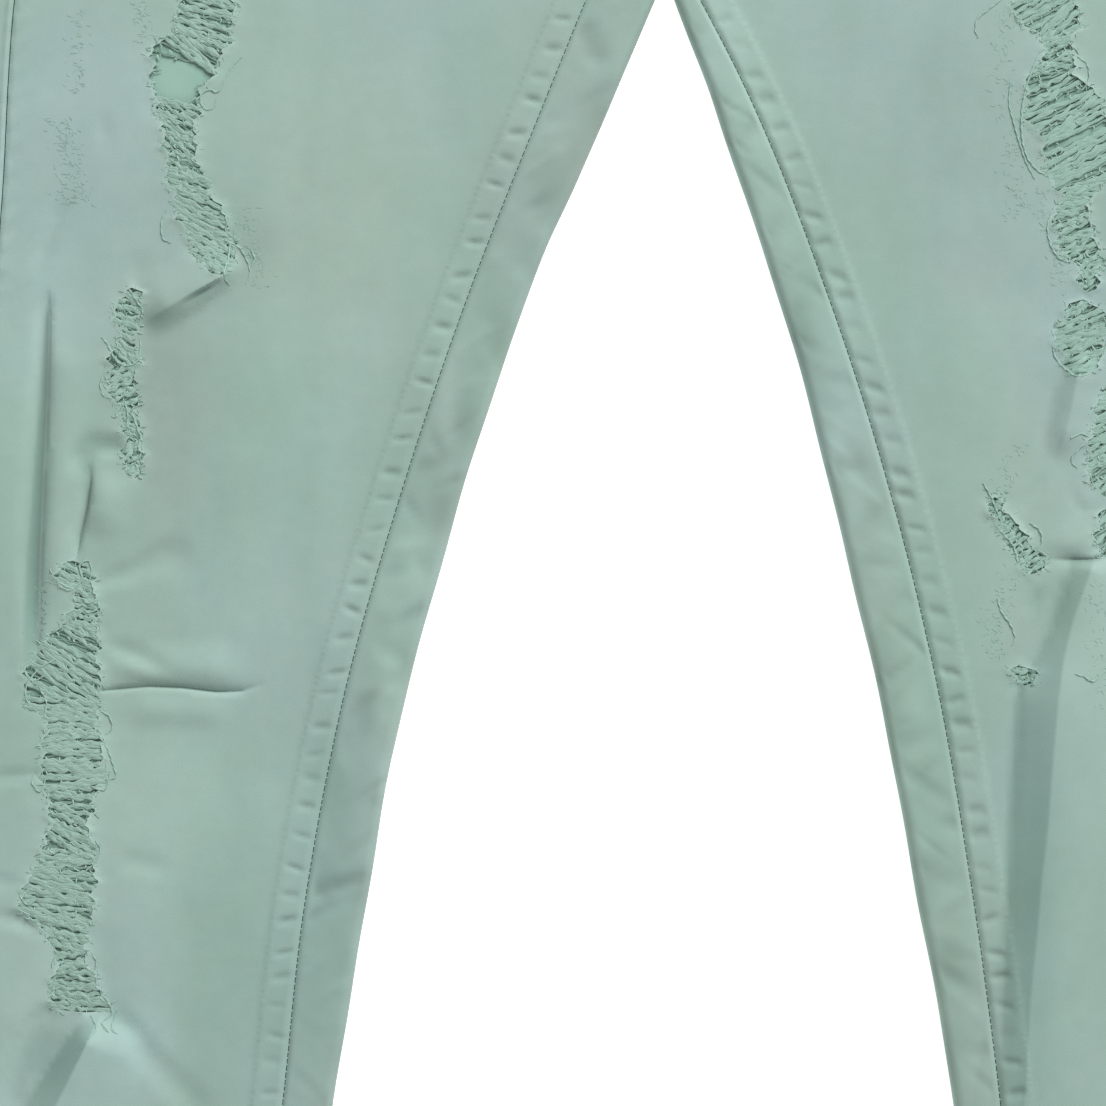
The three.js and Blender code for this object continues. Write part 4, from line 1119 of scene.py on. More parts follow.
for leg in LEGS:
    flat, triangles = front_panel(leg)
    x, y = flat.T
    points = np.column_stack([x, y, front_height(leg, x, y)])
    gap = nearest_rip(leg, x, y)
    worn = np.maximum(bell(gap, 1.6), 0.35 * bell(gap, 4.5))
    thinned = WALL * (1 - 0.6 * bell(gap, 1.5))
    points, triangles = shell(points, triangles, thinned)
    # painted shade in the puckers and in the cores of the sharp valleys
    painted_shade_and_light = (1 - 0.22 * pucker_shade(leg, x, y)) * (1 - 0.38 * core_shade(leg, x, y))
    front = sew_denim(f"front_{leg.side}", points, triangles, np.tile(worn, 2), np.tile(painted_shade_and_light, 2))

# ----------------------------------------
# Backing cloth behind the rips
# Three pieces of thin plain-woven cotton, dyed with the jeans, sewn in flat behind the worn places. They
# show as a smooth, greener mint where the rips are bare, and lie in shade under the loose threads, where
# their colour is darkened a little more as painted shade.

BACKING_WALL = 0.8
BACKING_DROP = 1.5            # how far it hangs below the front's upper side
LEAST_BACKING = 2.45          # where a valley presses it down
# Where it shows bare, close under the surface: x, y, half-width, half-height.
BARE = ((-207, -49, 12, 8), (170, -72.5, 9, 3.5), (176, -95, 8, 5),
        (-252, -340, 9, 2.6), (-249, -402, 9, 3), (-228, -152, 4, 3))


def bareness(x, y):
    total = np.zeros(np.shape(x))
    for cx, cy, wide, tall in BARE:
        away = ((x - cx) / wide) ** 2 + ((y - cy) / tall) ** 2
        total = np.maximum(total, ease(away, 1.5, 0.7))
    return total


def backing_height(leg, x, y):
    top = lie(leg, x, y)
    dent = 0.15 * np.sin(x / 3.1 + y / 4.7) + 0.1 * np.sin(x / 1.9 - y / 2.3)
    hung = top - mix(BACKING_DROP, 1.35, bareness(x, y)) + dent * 0.4
    return np.minimum(np.maximum(hung, LEAST_BACKING), top - WALL - 0.2)


def backing_material():
    made, wire = new_material("backing")
    place = cloth_place(wire)
    clouds = place.noise(0.05, 2.0).between(0.35, 0.65)
    colour = clouds.mixed((0.262, 0.428, 0.354), (0.284, 0.442, 0.370))
    # painted shade near the rips, under the threads, except where the backing shows bare
    shade = 1 - 0.12 * wire.drawn("shaded") + place.noise(0.9, 2.0) * 0.05
    colour = colour.times((shade, shade, shade))
    warp, weft = (place.waves(axis, {"Scale": 0.45}) for axis in "XY")
    finish_material(wire, {"Base Color": colour, "Roughness": 0.9, "Specular IOR Level": 0.25,
                           "Sheen Weight": 0.1, "Normal": (warp * 0.5 + weft * 0.5).bump(0.08)})
    return made


backing_cloth = backing_material()


def under_front(leg, low_y, high_y, low_share, high_share, pitch, wall, top_at):
    """Cloth under a front, between two levels and two shares of the front's width."""
    y = np.linspace(low_y, high_y, round((high_y - low_y) / pitch) + 1)[:, None]
    width = float(np.mean(np.abs(front_outer(leg, y) - front_inner(leg, y))))
    shares = np.linspace(low_share, high_share, round(width * (high_share - low_share) / pitch))
    y = np.broadcast_to(front_level(leg, y, mix(front_inner(leg, y), front_outer(leg, y), shares)),
                        (len(y), len(shares)))
    x = mix(front_inner(leg, y), front_outer(leg, y), shares)
    return closed_sheet(x, y, top_at(x, y), wall)


BACKINGS = {
    "backing_right_thigh": (right, -145, 35, 0.38, 0.92, (0.128, 0.180), 0.0225),
    "backing_right_knee": (right, -452, -146, 0.38, 0.92, (0.102, 0.306), 0.0290),
    "backing_left": (left, -330, 35, 0.07, 0.82, (0.174, 0.365), 0.0592),
}
for name, (leg, low_y, high_y, low_share, high_share, cut, area) in BACKINGS.items():
    points, triangles = under_front(leg, low_y, high_y - 0.3, low_share, high_share, 3.2, BACKING_WALL,
                                    lambda x, y: backing_height(leg, x, y))
    x, y, _ = points[:len(points) // 2].T
    # where the backing takes painted shade: near the rips, except where it shows bare
    shaded = np.tile((nearest_rip(leg, x, y) < 4) * (1 - bareness(x, y)), 2)
    backing = sew(name, points, triangles, backing_cloth, [name], {"shaded": shaded})

# ----------------------------------------
# Threads of the rips
# Where the denim has worn through, its thick weft yarns still cross the rip over a layer of finer ones.
# Each is two soft plies that wander, bunch and part, so that short dark gaps show between them. Broken
# yarns end in curls, loops and fluff along both edges.


def yarn_material():
    made, wire = new_material("yarn")
    place = cloth_place(wire)
    colour = wire.drawn("tone").mixed((0.286, 0.442, 0.374), (0.333, 0.482, 0.411))
    fluff = place.noise(2.2, 2.0, 0.6)
    shade = 0.88 + fluff * 0.24
    colour = colour.times((shade, shade, shade))
    finish_material(wire, {"Base Color": colour, "Roughness": 0.95, "Specular IOR Level": 0.15,
                           "Sheen Weight": 0.2, "Sheen Roughness": 0.6, "Normal": fluff.bump(0.5)})
    return made


yarn = yarn_material()


def yarn_tubes(paths, radii, sides, flatness):
    """Joined tubes with closed ends along many paths of equally many points."""
    paths, radii = np.asarray(paths, float), np.asarray(radii, float)
    count, steps, _ = paths.shape
    along = np.gradient(paths, axis=1)
    along /= np.maximum(np.linalg.norm(along, axis=2, keepdims=True), 1e-9)
    aside = np.cross(along, (0, 0, 1.0))
    aside /= np.maximum(np.linalg.norm(aside, axis=2, keepdims=True), 1e-9)
    up = np.cross(aside, along)
    turn = np.arange(sides) * TURN / sides
    ring = aside[:, :, None] * np.cos(turn)[:, None] + up[:, :, None] * flatness * np.sin(turn)[:, None]
    points = paths[:, :, None] + ring * radii[:, :, None, None]
    r, s = np.meshgrid(np.arange(steps - 1), np.arange(sides), indexing="ij")
    p, q = (r * sides + s).ravel(), (r * sides + (s + 1) % sides).ravel()
    walls = np.concatenate([stacked(p, q, q + sides), stacked(p, q + sides, p + sides)])
    fan = stacked(np.zeros(sides - 2, int), np.arange(1, sides - 1), np.arange(2, sides))
    one = np.concatenate([walls, fan[:, ::-1], fan + (steps - 1) * sides])
    triangles = one[None] + (np.arange(count) * steps * sides)[:, None, None]
    return points.reshape(-1, 3), triangles.reshape(-1, 3)


def joined(parts):
    """One set of points, triangles and tones from several."""
    points, triangles, tones, start = [], [], [], 0
    for some_points, some_triangles, tone in parts:
        points.append(some_points)
        triangles.append(some_triangles + start)
        tones.append(np.broadcast_to(tone, len(some_points)))
        start += len(some_points)
    return np.concatenate(points), np.concatenate(triangles), np.concatenate(tones)


def sew_threads(name, parts):
    points, triangles, tones = joined(parts)
    sew(name, points, triangles, yarn, (), {"tone": tones})


# The yarns of each rip, from the top down: (from y, to y, slope, pitch, share of yarns kept).
YARNS = {
    "rip_right_thigh": ((11, -14, -0.30, 2.0, 0.9), (-14, -27, -0.32, 1.9, 0.85),
        (-27, -41, -0.42, 1.8, 1.0), (-59, -68, -0.42, 2.0, 0.95), (-68, -80, -0.80, 2.3, 0.8),
        (-80, -88, -0.75, 2.0, 0.9), (-88, -99, -0.30, 1.7, 1.0), (-99, -116, -0.50, 1.8, 0.95),
        (-116, -131, -0.35, 1.9, 1.0)),
    "rip_right_middle": ((-140, -152, -0.25, 1.9, 0.95), (-152, -161, -0.45, 2.0, 0.9),
        (-162, -171, -0.8, 1.9, 0.9), (-171, -188, 0.4, 2.0, 0.9), (-188, -203, -0.35, 2.0, 0.95),
        (-203, -217, 0.5, 2.1, 0.85)),
    "rip_right_knee": ((-256, -269, -0.35, 2.0, 0.9), (-269, -280, -0.10, 2.0, 0.95),
        (-280, -294, -0.42, 2.0, 0.9), (-294, -313, -0.50, 1.8, 1.0), (-313, -323, -0.05, 1.9, 1.0),
        (-323, -343, 0.0, 1.9, 0.94), (-343, -352, 0.12, 2.0, 0.9), (-352, -360, -0.15, 1.9, 0.95),
        (-360, -377, -0.50, 1.8, 0.95), (-377, -386, 0.10, 1.9, 0.9), (-386, -401, -0.18, 1.8, 1.0),
        (-401, -419, -0.28, 1.8, 0.95), (-419, -427, 0.2, 2.0, 0.9), (-427, -438, -0.05, 2.0, 0.9),
        (-438, -446, -0.06, 1.7, 1.0)),
    "rip_left_thigh": ((9, -16, 0.55, 1.9, 0.95), (-16, -38, 0.6, 1.9, 0.95), (-38, -57, 0.45, 2.0, 0.85),
        (-57, -72, 0.50, 1.8, 0.95), (-75, -89, 0.52, 1.7, 1.0), (-89, -102, 0.5, 2.0, 0.85),
        (-102, -118, 0.45, 1.9, 0.93), (-118, -138, 0.5, 1.9, 0.94)),
    "rip_left_low_thigh": ((-145, -166, 0.48, 1.9, 0.95), (-166, -175, 0.5, 2.0, 0.9)),
    "rip_left_edge": ((-180, -198, 0.5, 2.0, 0.9), (-198, -226, 0.7, 2.1, 0.88)),
    "rip_left_slit": ((-233, -252, 0.9, 2.8, 0.6),),
    "rip_left_knee": ((-229, -245, 0.6, 1.6, 1.0), (-245, -258, 0.6, 1.7, 1.0)),
    "rip_left_patch": ((-299, -306, 0.1, 1.6, 0.9),),
}
STEPS = 15                    # points along a yarn
FINE_STEPS = 10
PLY_RADIUS = {"right": 0.86, "left": 0.74}
YARN_TONE = {"right": 0.7, "left": 0.2}
INTO_CLOTH = 1.2              # how far a yarn runs on inside the denim at either end


def across_rip(rip, level, slope):
    """Where a line of this slope crosses a rip: its two ends, pushed on into the cloth."""
    low, high = rip.edges(np.array(level))
    reach = (high - low) / 2
    from_x = rip.edges(np.array(level - slope * reach))[0] - INTO_CLOTH
    to_x = rip.edges(np.array(level + slope * reach))[1] + INTO_CLOTH
    tall = slope * (reach + INTO_CLOTH)
    return float(reach), float(from_x), float(to_x), level - tall, level + tall


def apart(x, y):
    """Where neighbouring yarns stand apart, from 0 to 1: short gaps, staggered from row to row."""
    along = x * TURN / 4.7 + 1.6 * np.sin(y / 1.31) + 1.2 * np.sin(y / 7.3)
    across = y * TURN / 3.5 + 1.2 * np.sin(x / 2.9) + 0.9 * np.sin((x + y) / 6.1)
    return ease(np.sin(along) * np.sin(across) + 0.3 * np.sin(x / 9 + y / 11), -0.02, 0.5)


def crossing_yarns(rip):
    """The thick yarns that cross a rip, as two plies each: path over the cloth, radii and tone."""
    t = np.linspace(0, 1, STEPS)
    free = np.sin(math.pi * t) ** 0.5
    for high_y, low_y, slope, pitch, kept in YARNS[rip.name]:
        for level in np.arange(high_y - pitch / 2, low_y, -0.82 * pitch):
            stays, stray = draw.random() < kept, draw.uniform(-1, 1, 16)
            reach, from_x, to_x, from_y, to_y = across_rip(
                rip, level + 0.25 * pitch * stray[0], slope + 0.12 * stray[1])
            if not stays or reach < 0.7:
                continue
            from_x, to_x = from_x - 0.9 * (1 + stray[13]), to_x + 0.9 * (1 + stray[14])
            span = to_x - from_x
            x = mix(from_x, to_x, t)
            y = mix(from_y, to_y, t)
            y = y + free * (0.5 * np.sin(TURN * t * span / (7.5 + 2 * stray[2]) + 4 * stray[3])
                            + 0.32 * np.sin(TURN * t * span / (3.6 + 0.8 * stray[4]) + 4 * stray[5])
                            - (0.25 + 0.035 * span * stray[6]) * np.sin(math.pi * t))
            lift = free * (0.1 + 0.15 * stray[7] + 0.12 * np.sin(t * span / 1.9 + 4 * stray[8]))
            turn = t * span / (6.5 + stray[9]) * TURN + 5 * stray[10]
            gaps = apart(x, y)
            part = mix(0.55, 0.30, gaps)
            ends = mix(0.35, 1, ease(np.minimum(t, 1 - t) * span, 0, 3))
            thick = mix(PLY_RADIUS[rip.leg.side], 0.46, gaps) * ends
            for sign in (-1, 1):
                height = lift - 0.45 * free + sign * 0.1 * np.sin(turn) - 0.25 * gaps
                yield (stacked(x, y + sign * part * (0.75 + 0.25 * np.cos(turn)), height),
                       thick * draw.uniform(0.9, 1.1),
                       YARN_TONE[rip.leg.side] + 0.14 * stray[9] + draw.uniform(-0.12, 0.12))


def fine_yarns(rip):
    """The finer yarns beneath, at a slant of their own."""
    t = np.linspace(0, 1, FINE_STEPS)
    for high_y, low_y, slope, *_ in YARNS[rip.name]:
        for level in np.arange(high_y, low_y, -1.05):
            stray = draw.uniform(-1, 1, 6)
            reach, from_x, to_x, from_y, to_y = across_rip(rip, level + 0.4 * stray[0],
                                                           slope * 0.85 + 0.12 * stray[1])
            if reach < 0.7 or draw.random() > 0.86:
                continue
            span = to_x - from_x
            y = mix(from_y, to_y, t) + 0.4 * np.sin(TURN * t * span / (7 + 3 * stray[2]) + 4 * stray[3])
            z = -0.8 + 0.2 * np.sin(t * span / 2.3 + 4 * stray[4]) + 0 * t
            yield (stacked(mix(from_x, to_x, t), y, z),
                   np.full(FINE_STEPS, draw.uniform(0.34, 0.5)), 0.62 + 0.2 * stray[5])


def gap_fluff(rip):
    """Short fibres that lie steeply across the yarns and close their gaps in places."""
    t = np.linspace(0, 1, 6)
    for high_y, low_y, *_ in YARNS[rip.name]:
        for level in np.arange(high_y, low_y, -0.65):
            low, high = rip.edges(np.array(level))
            x = draw.uniform(low, high) if high > low else low
            heading, reach = draw.uniform(0.6, 2.6), draw.uniform(1.0, 2.6)
            bend = draw.normal(0, 0.5) * np.sin(math.pi * t)
            z = -0.5 + 0.35 * np.sin(math.pi * t) + draw.uniform(-0.5, 0.2)
            yield (stacked(x + (t - 0.5) * reach * math.cos(heading) + bend,
                           level + (t - 0.5) * reach * math.sin(heading), z),
                   np.full(6, draw.uniform(0.16, 0.36)), draw.uniform(0.6, 0.95))


CURL_STEPS = 7


def edge_curls(rip, spacing, length, radius):
    """Short broken ends that curl out of both edges of a rip, over the cloth and over the gap."""
    t = np.linspace(0, 1, CURL_STEPS)
    levels_down = np.arange(rip.top - 0.5, rip.foot + 0.5, -spacing)
    for side in (0, 1):
        edge = rip.edges(levels_down)[side]
        for level, x0 in zip(levels_down, edge):
            reach = length * draw.uniform(0.3, 1.2)
            into_gap = 1 if side == 0 else -1
            direction = into_gap * (1 if draw.random() < 0.45 else -1)
            turn = draw.uniform(-1.1, 1.1) + draw.normal(0, 2.2) * t
            step = reach / (CURL_STEPS - 1)
            x = x0 - 0.7 * direction + np.cumsum(np.cos(turn)) * step * direction
            y = level + draw.uniform(-0.5, 0.5) * spacing + np.cumsum(np.sin(turn)) * step
            over = rip.distance(x, y) > 0.3
            drop = np.convolve(np.pad(np.where(over, 0.12, -0.7), 1, "edge"), [0.3, 0.4, 0.3], "valid")
            yield (stacked(x, y, drop + draw.uniform(0.05, 0.6) * np.sin(math.pi * t) ** 2),
                   radius * (1 - 0.5 * t) * draw.uniform(0.7, 1.3), draw.uniform(0.35, 0.85))


def run_along(points):
    """How far along a line each of its points is."""
    return np.concatenate([[0], np.cumsum(np.hypot(*np.diff(points, axis=0).T))])


def smooth_path(points, steps):
    """A smooth curve through a few places, as equally many points for every loose yarn."""
    points = np.asarray(points, float)
    run = run_along(points)
    t = np.linspace(0, run[-1], steps)
    ends = np.vstack([2 * points[0] - points[1], points, 2 * points[-1] - points[-2]])
    k = np.clip(np.searchsorted(run, t, side="right") - 1, 0, len(points) - 2)
    u = ((t - run[k]) / (run[k + 1] - run[k]))[:, None]
    a, b, c, d = (ends[k + n] for n in range(4))
    return 0.5 * (2 * b + (c - a) * u + (2 * a - 5 * b + 4 * c - d) * u ** 2
                  + (3 * b - a - 3 * c + d) * u ** 3)


# Loose yarns that lie over the cloth, listed one by one: (leg, radius, tone, places).
LOOSE_YARNS = (
    (left, 0.50, 1.0, ((147, -12), (143, -16), (138, -20), (133.5, -24), (132.6, -29), (134, -32))),
    (left, 0.60, 1.0, ((160, -38), (157, -45), (154.5, -52), (152.8, -60), (152.2, -67), (152.8, -76),
        (155, -83), (159, -88), (164, -91))),
    (left, 0.45, 0.8, ((147.5, -52), (147, -60), (149, -68), (151, -75), (154, -84), (158, -92))),
    (left, 0.45, 0.85, ((176, -40), (180, -43), (181, -49), (178, -54), (175, -52))),
    (left, 0.50, 0.9, ((166, -104), (163.5, -111), (164.5, -119), (168, -125), (172, -127))),
    (left, 0.45, 0.9, ((166, -158), (166, -166), (170, -172), (176, -176), (182, -173), (187, -166),
        (189, -157), (187, -150))),
    (left, 0.50, 0.95, ((173, -202), (178, -200), (181, -203), (177, -206), (173.5, -211), (176, -215))),
    (left, 0.45, 0.9, ((136, -221), (139, -226), (141.5, -232), (143.5, -237))),
    (left, 0.50, 0.9, ((141, -233), (141, -238), (145, -243), (149, -248), (151, -256))),
    (left, 0.50, 0.95, ((156, -238), (160, -241), (161, -246), (158, -249))),
    (left, 0.50, 0.95, ((142, -270), (144, -276), (147.5, -281), (149.5, -287), (148, -290))),
    (left, 0.45, 0.9, ((187, -301), (182, -305), (178, -303), (174, -302))),
    (right, 0.45, 0.95, ((-179, -40), (-183, -44), (-186, -50), (-189, -55), (-193, -54), (-196.5, -57),
        (-195, -62), (-191, -62), (-189.5, -58))),
    (right, 0.50, 0.95, ((-190, -104), (-186.5, -105.5), (-184.6, -109), (-186, -112.5), (-189, -111.5))),
    (right, 0.45, 0.9, ((-211, -105), (-213, -110), (-212.5, -117), (-209, -119))),
    (right, 0.45, 0.9, ((-186, -118), (-180, -121), (-176.5, -127), (-175.5, -132), (-177, -136))),
    (right, 0.50, 0.95, ((-184, -119), (-184.6, -126), (-186, -133), (-183, -139))),
    (right, 0.45, 0.9, ((-175, -122), (-173.5, -126), (-176, -130))),
    (right, 0.50, 0.95, ((-228, -137), (-224, -143), (-221, -148), (-222.5, -152.5))),
    (right, 0.45, 0.9, ((-238.5, -159), (-236, -162), (-233, -168), (-229, -171), (-224, -170),
        (-222, -164), (-222.5, -159))),
    (right, 0.45, 0.85, ((-237, -174), (-239, -179), (-237.5, -184), (-234, -185))),
    (right, 0.45, 0.9, ((-229, -186), (-227.5, -191), (-228, -197), (-232, -200))),
    (right, 0.50, 0.95, ((-226, -190), (-223.5, -197), (-221, -205), (-223, -211), (-226, -214))),
    (right, 0.50, 0.9, ((-256, -260), (-257, -264), (-252, -266.5), (-247, -262), (-248, -256),
        (-244, -254), (-243, -260), (-246, -266))),
    (right, 0.60, 1.0, ((-247, -270), (-244, -272), (-240.5, -270.5), (-240, -274), (-244, -276),
        (-247.5, -274))),
    (right, 0.50, 0.95, ((-258, -296), (-264, -299), (-268, -303), (-271, -309), (-269.5, -315),
        (-266, -318))),
    (right, 0.50, 0.95, ((-263, -303), (-268, -305), (-271.5, -300), (-269, -296))),
    (right, 0.50, 0.9, ((-265, -308), (-262, -314), (-262.5, -320), (-259, -322))),
    (right, 0.45, 0.9, ((-239, -318), (-235.5, -320), (-234, -325), (-237, -328))),
    (right, 0.50, 0.95, ((-240, -328), (-236.5, -333), (-233.5, -341), (-232.6, -346), (-237, -347))),
    (right, 0.45, 0.9, ((-243, -350), (-238, -351.5), (-236, -349), (-235, -344))),
    (right, 0.45, 0.9, ((-266, -343), (-268, -348), (-264.5, -352), (-262, -346))),
    (right, 0.45, 0.9, ((-247, -387), (-242, -383), (-239, -377), (-241, -373))),
    (right, 0.45, 0.85, ((-270, -392), (-273, -396), (-270, -400), (-266, -398))),
    (right, 0.45, 0.9, ((-257, -420), (-259.5, -426), (-258, -433))),
    (right, 0.45, 0.9, ((-243, -420), (-240.5, -425), (-243, -431))),
    (right, 0.50, 0.9, ((-239, -437), (-236, -441), (-234, -446), (-238, -450), (-235, -454))),
    (right, 0.50, 0.95, ((-243, -447), (-240, -452), (-243, -456))),
    (right, 0.40, 0.8, ((-232, -445), (-234, -452), (-231.5, -455))),
)
LOOSE_STEPS = 26
GROUPS = {
    "threads_right_thigh": (right, ("rip_right_thigh",), (40, -137)),
    "threads_right_middle": (right, ("rip_right_middle",), (-137, -222)),
    "threads_right_knee": (right, ("rip_right_knee",), (-222, -480)),
    "threads_left_thigh": (left, ("rip_left_thigh", "rip_left_low_thigh"), (40, -177)),
    "threads_left_knee": (left, ("rip_left_edge", "rip_left_slit", "rip_left_knee",
                                 "rip_left_patch"), (-177, -400)),
}


# Scuffs that haven't worn through, as loose fibres: leg, from (x, y) to (x, y), width, count.
SCUFFS = (
    (right, -248, -20, -249, -56, 7, 70), (right, -254, -66, -250, -103, 11, 150),
    (right, -224, -8, -221, -34, 6, 60), (right, -178, -104, -170, -138, 8, 90),
    (right, -262, -258, -268, -300, 6, 60),
    (left, 145, -20, 150, -110, 9, 150), (left, 160, -96, 172, -140, 8, 90),
    (left, 150, -205, 140, -240, 8, 60), (left, 146, -256, 140, -296, 9, 90),
    (left, 181, -262, 190, -318, 12, 90),
)


def scuffed(x0, y0, x1, y1, width, count):
    """Loose fibres strewn along a line."""
    t = np.linspace(0, 1, 6)
    for share in draw.uniform(0, 1, count):
        aside, reach, heading = draw.normal(0, width / 3), draw.uniform(1, 3.4), draw.normal(0, 0.9)
        x = mix(x0, x1, share) + aside + (t - 0.5) * reach * math.cos(heading)
        y = mix(y0, y1, share) + (t - 0.5) * reach * math.sin(heading)
        bow = draw.normal(0, 0.4) * np.sin(math.pi * t)
        yield (stacked(x - bow * math.sin(heading), y + bow, 0.1 * np.sin(math.pi * t) - 0.05),
               np.full(6, draw.uniform(0.10, 0.18)), draw.uniform(0.4, 0.8))


def laid_on(leg, yarns, sides, flatness=0.8):
    """Tubes for yarns whose heights are over the cloth, and the tone at each point."""
    paths, radii, tones = zip(*yarns)
    paths = np.array(paths, float)
    paths[..., 2] += lie(leg, paths[..., 0], paths[..., 1])
    return (*yarn_tubes(paths, radii, sides, flatness), np.repeat(tones, paths.shape[1] * sides))


for name, (leg, members, (group_top, group_foot)) in GROUPS.items():
    parts = []
    for rip in rips:
        if rip.name in members:
            parts += [laid_on(leg, crossing_yarns(rip), 5, 0.6), laid_on(leg, fine_yarns(rip), 3),
                      laid_on(leg, gap_fluff(rip), 3),
                      laid_on(leg, edge_curls(rip, 1.5, 3.4, 0.34), 4, 0.6),
                      laid_on(leg, edge_curls(rip, 1.1, 2.8, 0.16), 3)]
    for owner, *scuff in SCUFFS:
        if owner is leg and group_foot <= scuff[1] < group_top:
            parts.append(laid_on(leg, scuffed(*scuff), 3))
    t = np.linspace(0, 1, LOOSE_STEPS)
    for owner, radius, tone, places in LOOSE_YARNS:
        if owner is leg and group_foot <= places[0][1] < group_top:
            path = smooth_path(places, LOOSE_STEPS)
            run = np.linspace(0, np.hypot(*np.diff(path, axis=0).T).sum(), LOOSE_STEPS)
            plies = []
            for sign in (-1, 1):
                aside = sign * radius * 0.5 * np.sin(run / 1.1)
                lift = 0.1 + 0.14 * np.sin(math.pi * t) ** 2 + sign * radius * 0.3 * np.cos(run / 1.1)
                plies.append((np.column_stack([path + aside[:, None] * 0.7, lift]),
                              radius * 0.66 * (1 - 0.5 * t ** 4), tone * 0.6))
            parts.append(laid_on(leg, plies, 5))
    sew_threads(name, parts)

# ----------------------------------------
# Hems
# The leg's end turned up twice and stitched, a flat ring of doubled denim. Washing has drawn it into
# slanting ripples, as every chain-stitched hem is.

HEM_WALL = 1.9
HEM_RIPPLE = 0.22
over_start = len(STRIP_SHARES) + (ROLL_COLUMNS - 1) * 2 + UNDER_COLUMNS + 1


def roping(x, y):
    return HEM_RIPPLE * np.sin((x * 0.8 + y) * TURN / 8.3 + 0.8 * np.sin(x / 13))


for leg in LEGS:
    rows = np.linspace(HEM, HEM + HEM_BAND, 13)
    around = back_sheet(leg, rows)[:, STRIP_END:over_start + 1]
    near = leg.inner(rows[:, None]) + leg.away * ROLL
    far = leg.outer(rows[:, None]) - leg.away * ROLL
    x = mix(far, near, np.linspace(0, 1, 60)[None, 1:-1])
    y = front_level(leg, rows[:, None], x)
    edge_fold = 0.5 * (1 - ease(rows[:, None] - HEM, 0, 2.5))
    over = stacked(x, y, lie(leg, x, y) + roping(x, y) - edge_fold)
    points = np.concatenate([around, over], axis=1)
    count = points.shape[1]
    triangles = grid_triangles(len(rows), count + 1)
    triangles = triangles // (count + 1) * count + triangles % (count + 1) % count
    points, triangles = closed_round(points.reshape(-1, 3), triangles, HEM_WALL)
    hem = sew_denim(f"hem_{leg.side}", points, triangles, 0.25)

# ----------------------------------------
# Pocket facings
# The denim that shows in the mouth of a front pocket, sewn to the side seam and the waist behind it.

FACING_WALL = 0.9
FACING_DROP = WALL + SEAM_GAP
for leg in LEGS:
    points, triangles = under_front(leg, 160, BAND_SEAM - SEAM_GAP, 0.38, 1, 3, FACING_WALL,
                                    lambda x, y: lie(leg, x, y) - FACING_DROP)
    facing = sew_denim(f"pocket_facing_{leg.side}", points, triangles)

# ----------------------------------------
# Yokes
# A wedge of denim above each back, deepest at the centre back, that gives the seat its shape. It runs
# round the hip to the front's side seam.

yoke_rows = np.linspace(YOKE_SEAM, BAND_SEAM, 12)
for leg in LEGS:
    points = back_sheet(leg, yoke_rows)
    rows, columns, _ = points.shape
    keep = np.broadcast_to(np.arange(columns - 1) >= INNER_ROLL_END, (rows - 1, columns - 1))
    points = points.reshape(-1, 3)
    triangles = grid_triangles(rows, columns, keep)
    used = np.unique(triangles)
    triangles = face_out(points, triangles, points[used].mean(axis=0))
    points, triangles = shell(points, triangles, WALL)
    yoke = sew_denim(f"yoke_{leg.side}", points, triangles)

# ----------------------------------------
# Back pockets
# Five-sided patches of denim on the seat, which lies on them, with a folded hem along the top.

POCKET_WIDTH = 142
POCKET_HEIGHT = 150
POCKET_POINT = 18
POCKET_TAPER = 8
POCKET_TOP = 192
POCKET_FROM_CENTRE = 104
POCKET_BASE = 0.3             # its stitches touch the table


def pocket_outline(leg, inset, shares, depths):
    """Places on a back pocket, by its shares across and down, this far inside its edge."""
    middle = centre_back(POCKET_TOP) + leg.away * POCKET_FROM_CENTRE
    half = POCKET_WIDTH / 2 - POCKET_TAPER * depths - inset
    foot = POCKET_TOP - POCKET_HEIGHT + POCKET_POINT * np.abs(2 * shares - 1)
    x = middle + (2 * shares - 1) * half
    return x, mix(POCKET_TOP - inset, foot + 1.1 * inset, depths)


for leg in LEGS:
    across, down = np.meshgrid(np.linspace(0, 1, 45), np.linspace(0, 1, 48))
    x, y = pocket_outline(leg, 0, across, down)
    folded = 0.25 * ease(down, 0.13, 0.11)
    edge = np.minimum.reduce([across, 1 - across, down, 1 - down]) * POCKET_WIDTH
    z = POCKET_BASE + 0.12 * np.exp(-edge / 1.5) - folded * 0.5 + 0.05 * np.sin(x / 9) * np.sin(y / 11)
    pocket = sew_denim(f"back_pocket_{leg.side}", *closed_sheet(x, y, z, 0.95, down=True))

# ----------------------------------------
# Waistband
# A doubled strip of denim right round, stiff with its lining, whose left end laps over the right end
# where the button closes it.

BAND_PROUD = 0.9
BAND_UNDERLAP = 26
BAND_OVERLAP = 8
BAND_WALL = 1.9
BAND_LIFT = 2.5


def band_front_y(leg, row, x):
    return row - FRONT_DIP * (1 - share_across(leg, row, x) ** 2)


def band_top(leg, row, x):
    """The height of the waistband's upper side in front."""
    lap = BAND_LIFT * ease(x - centre_front(row), 70, 32) if leg is left else 0
    puff = EDGE_PUFF * (1 - ease(np.abs(leg.outer(row) - x), ROLL, EDGE_FADE))
    ripple = 0.12 * np.sin(x / 7 + row / 9) + 0.08 * np.sin(x / 3.3 - row / 5)
    return LAY + SEAT_LIFT + BAND_PROUD + lap + puff + ripple * ease(puff, 2.2, 0.5)


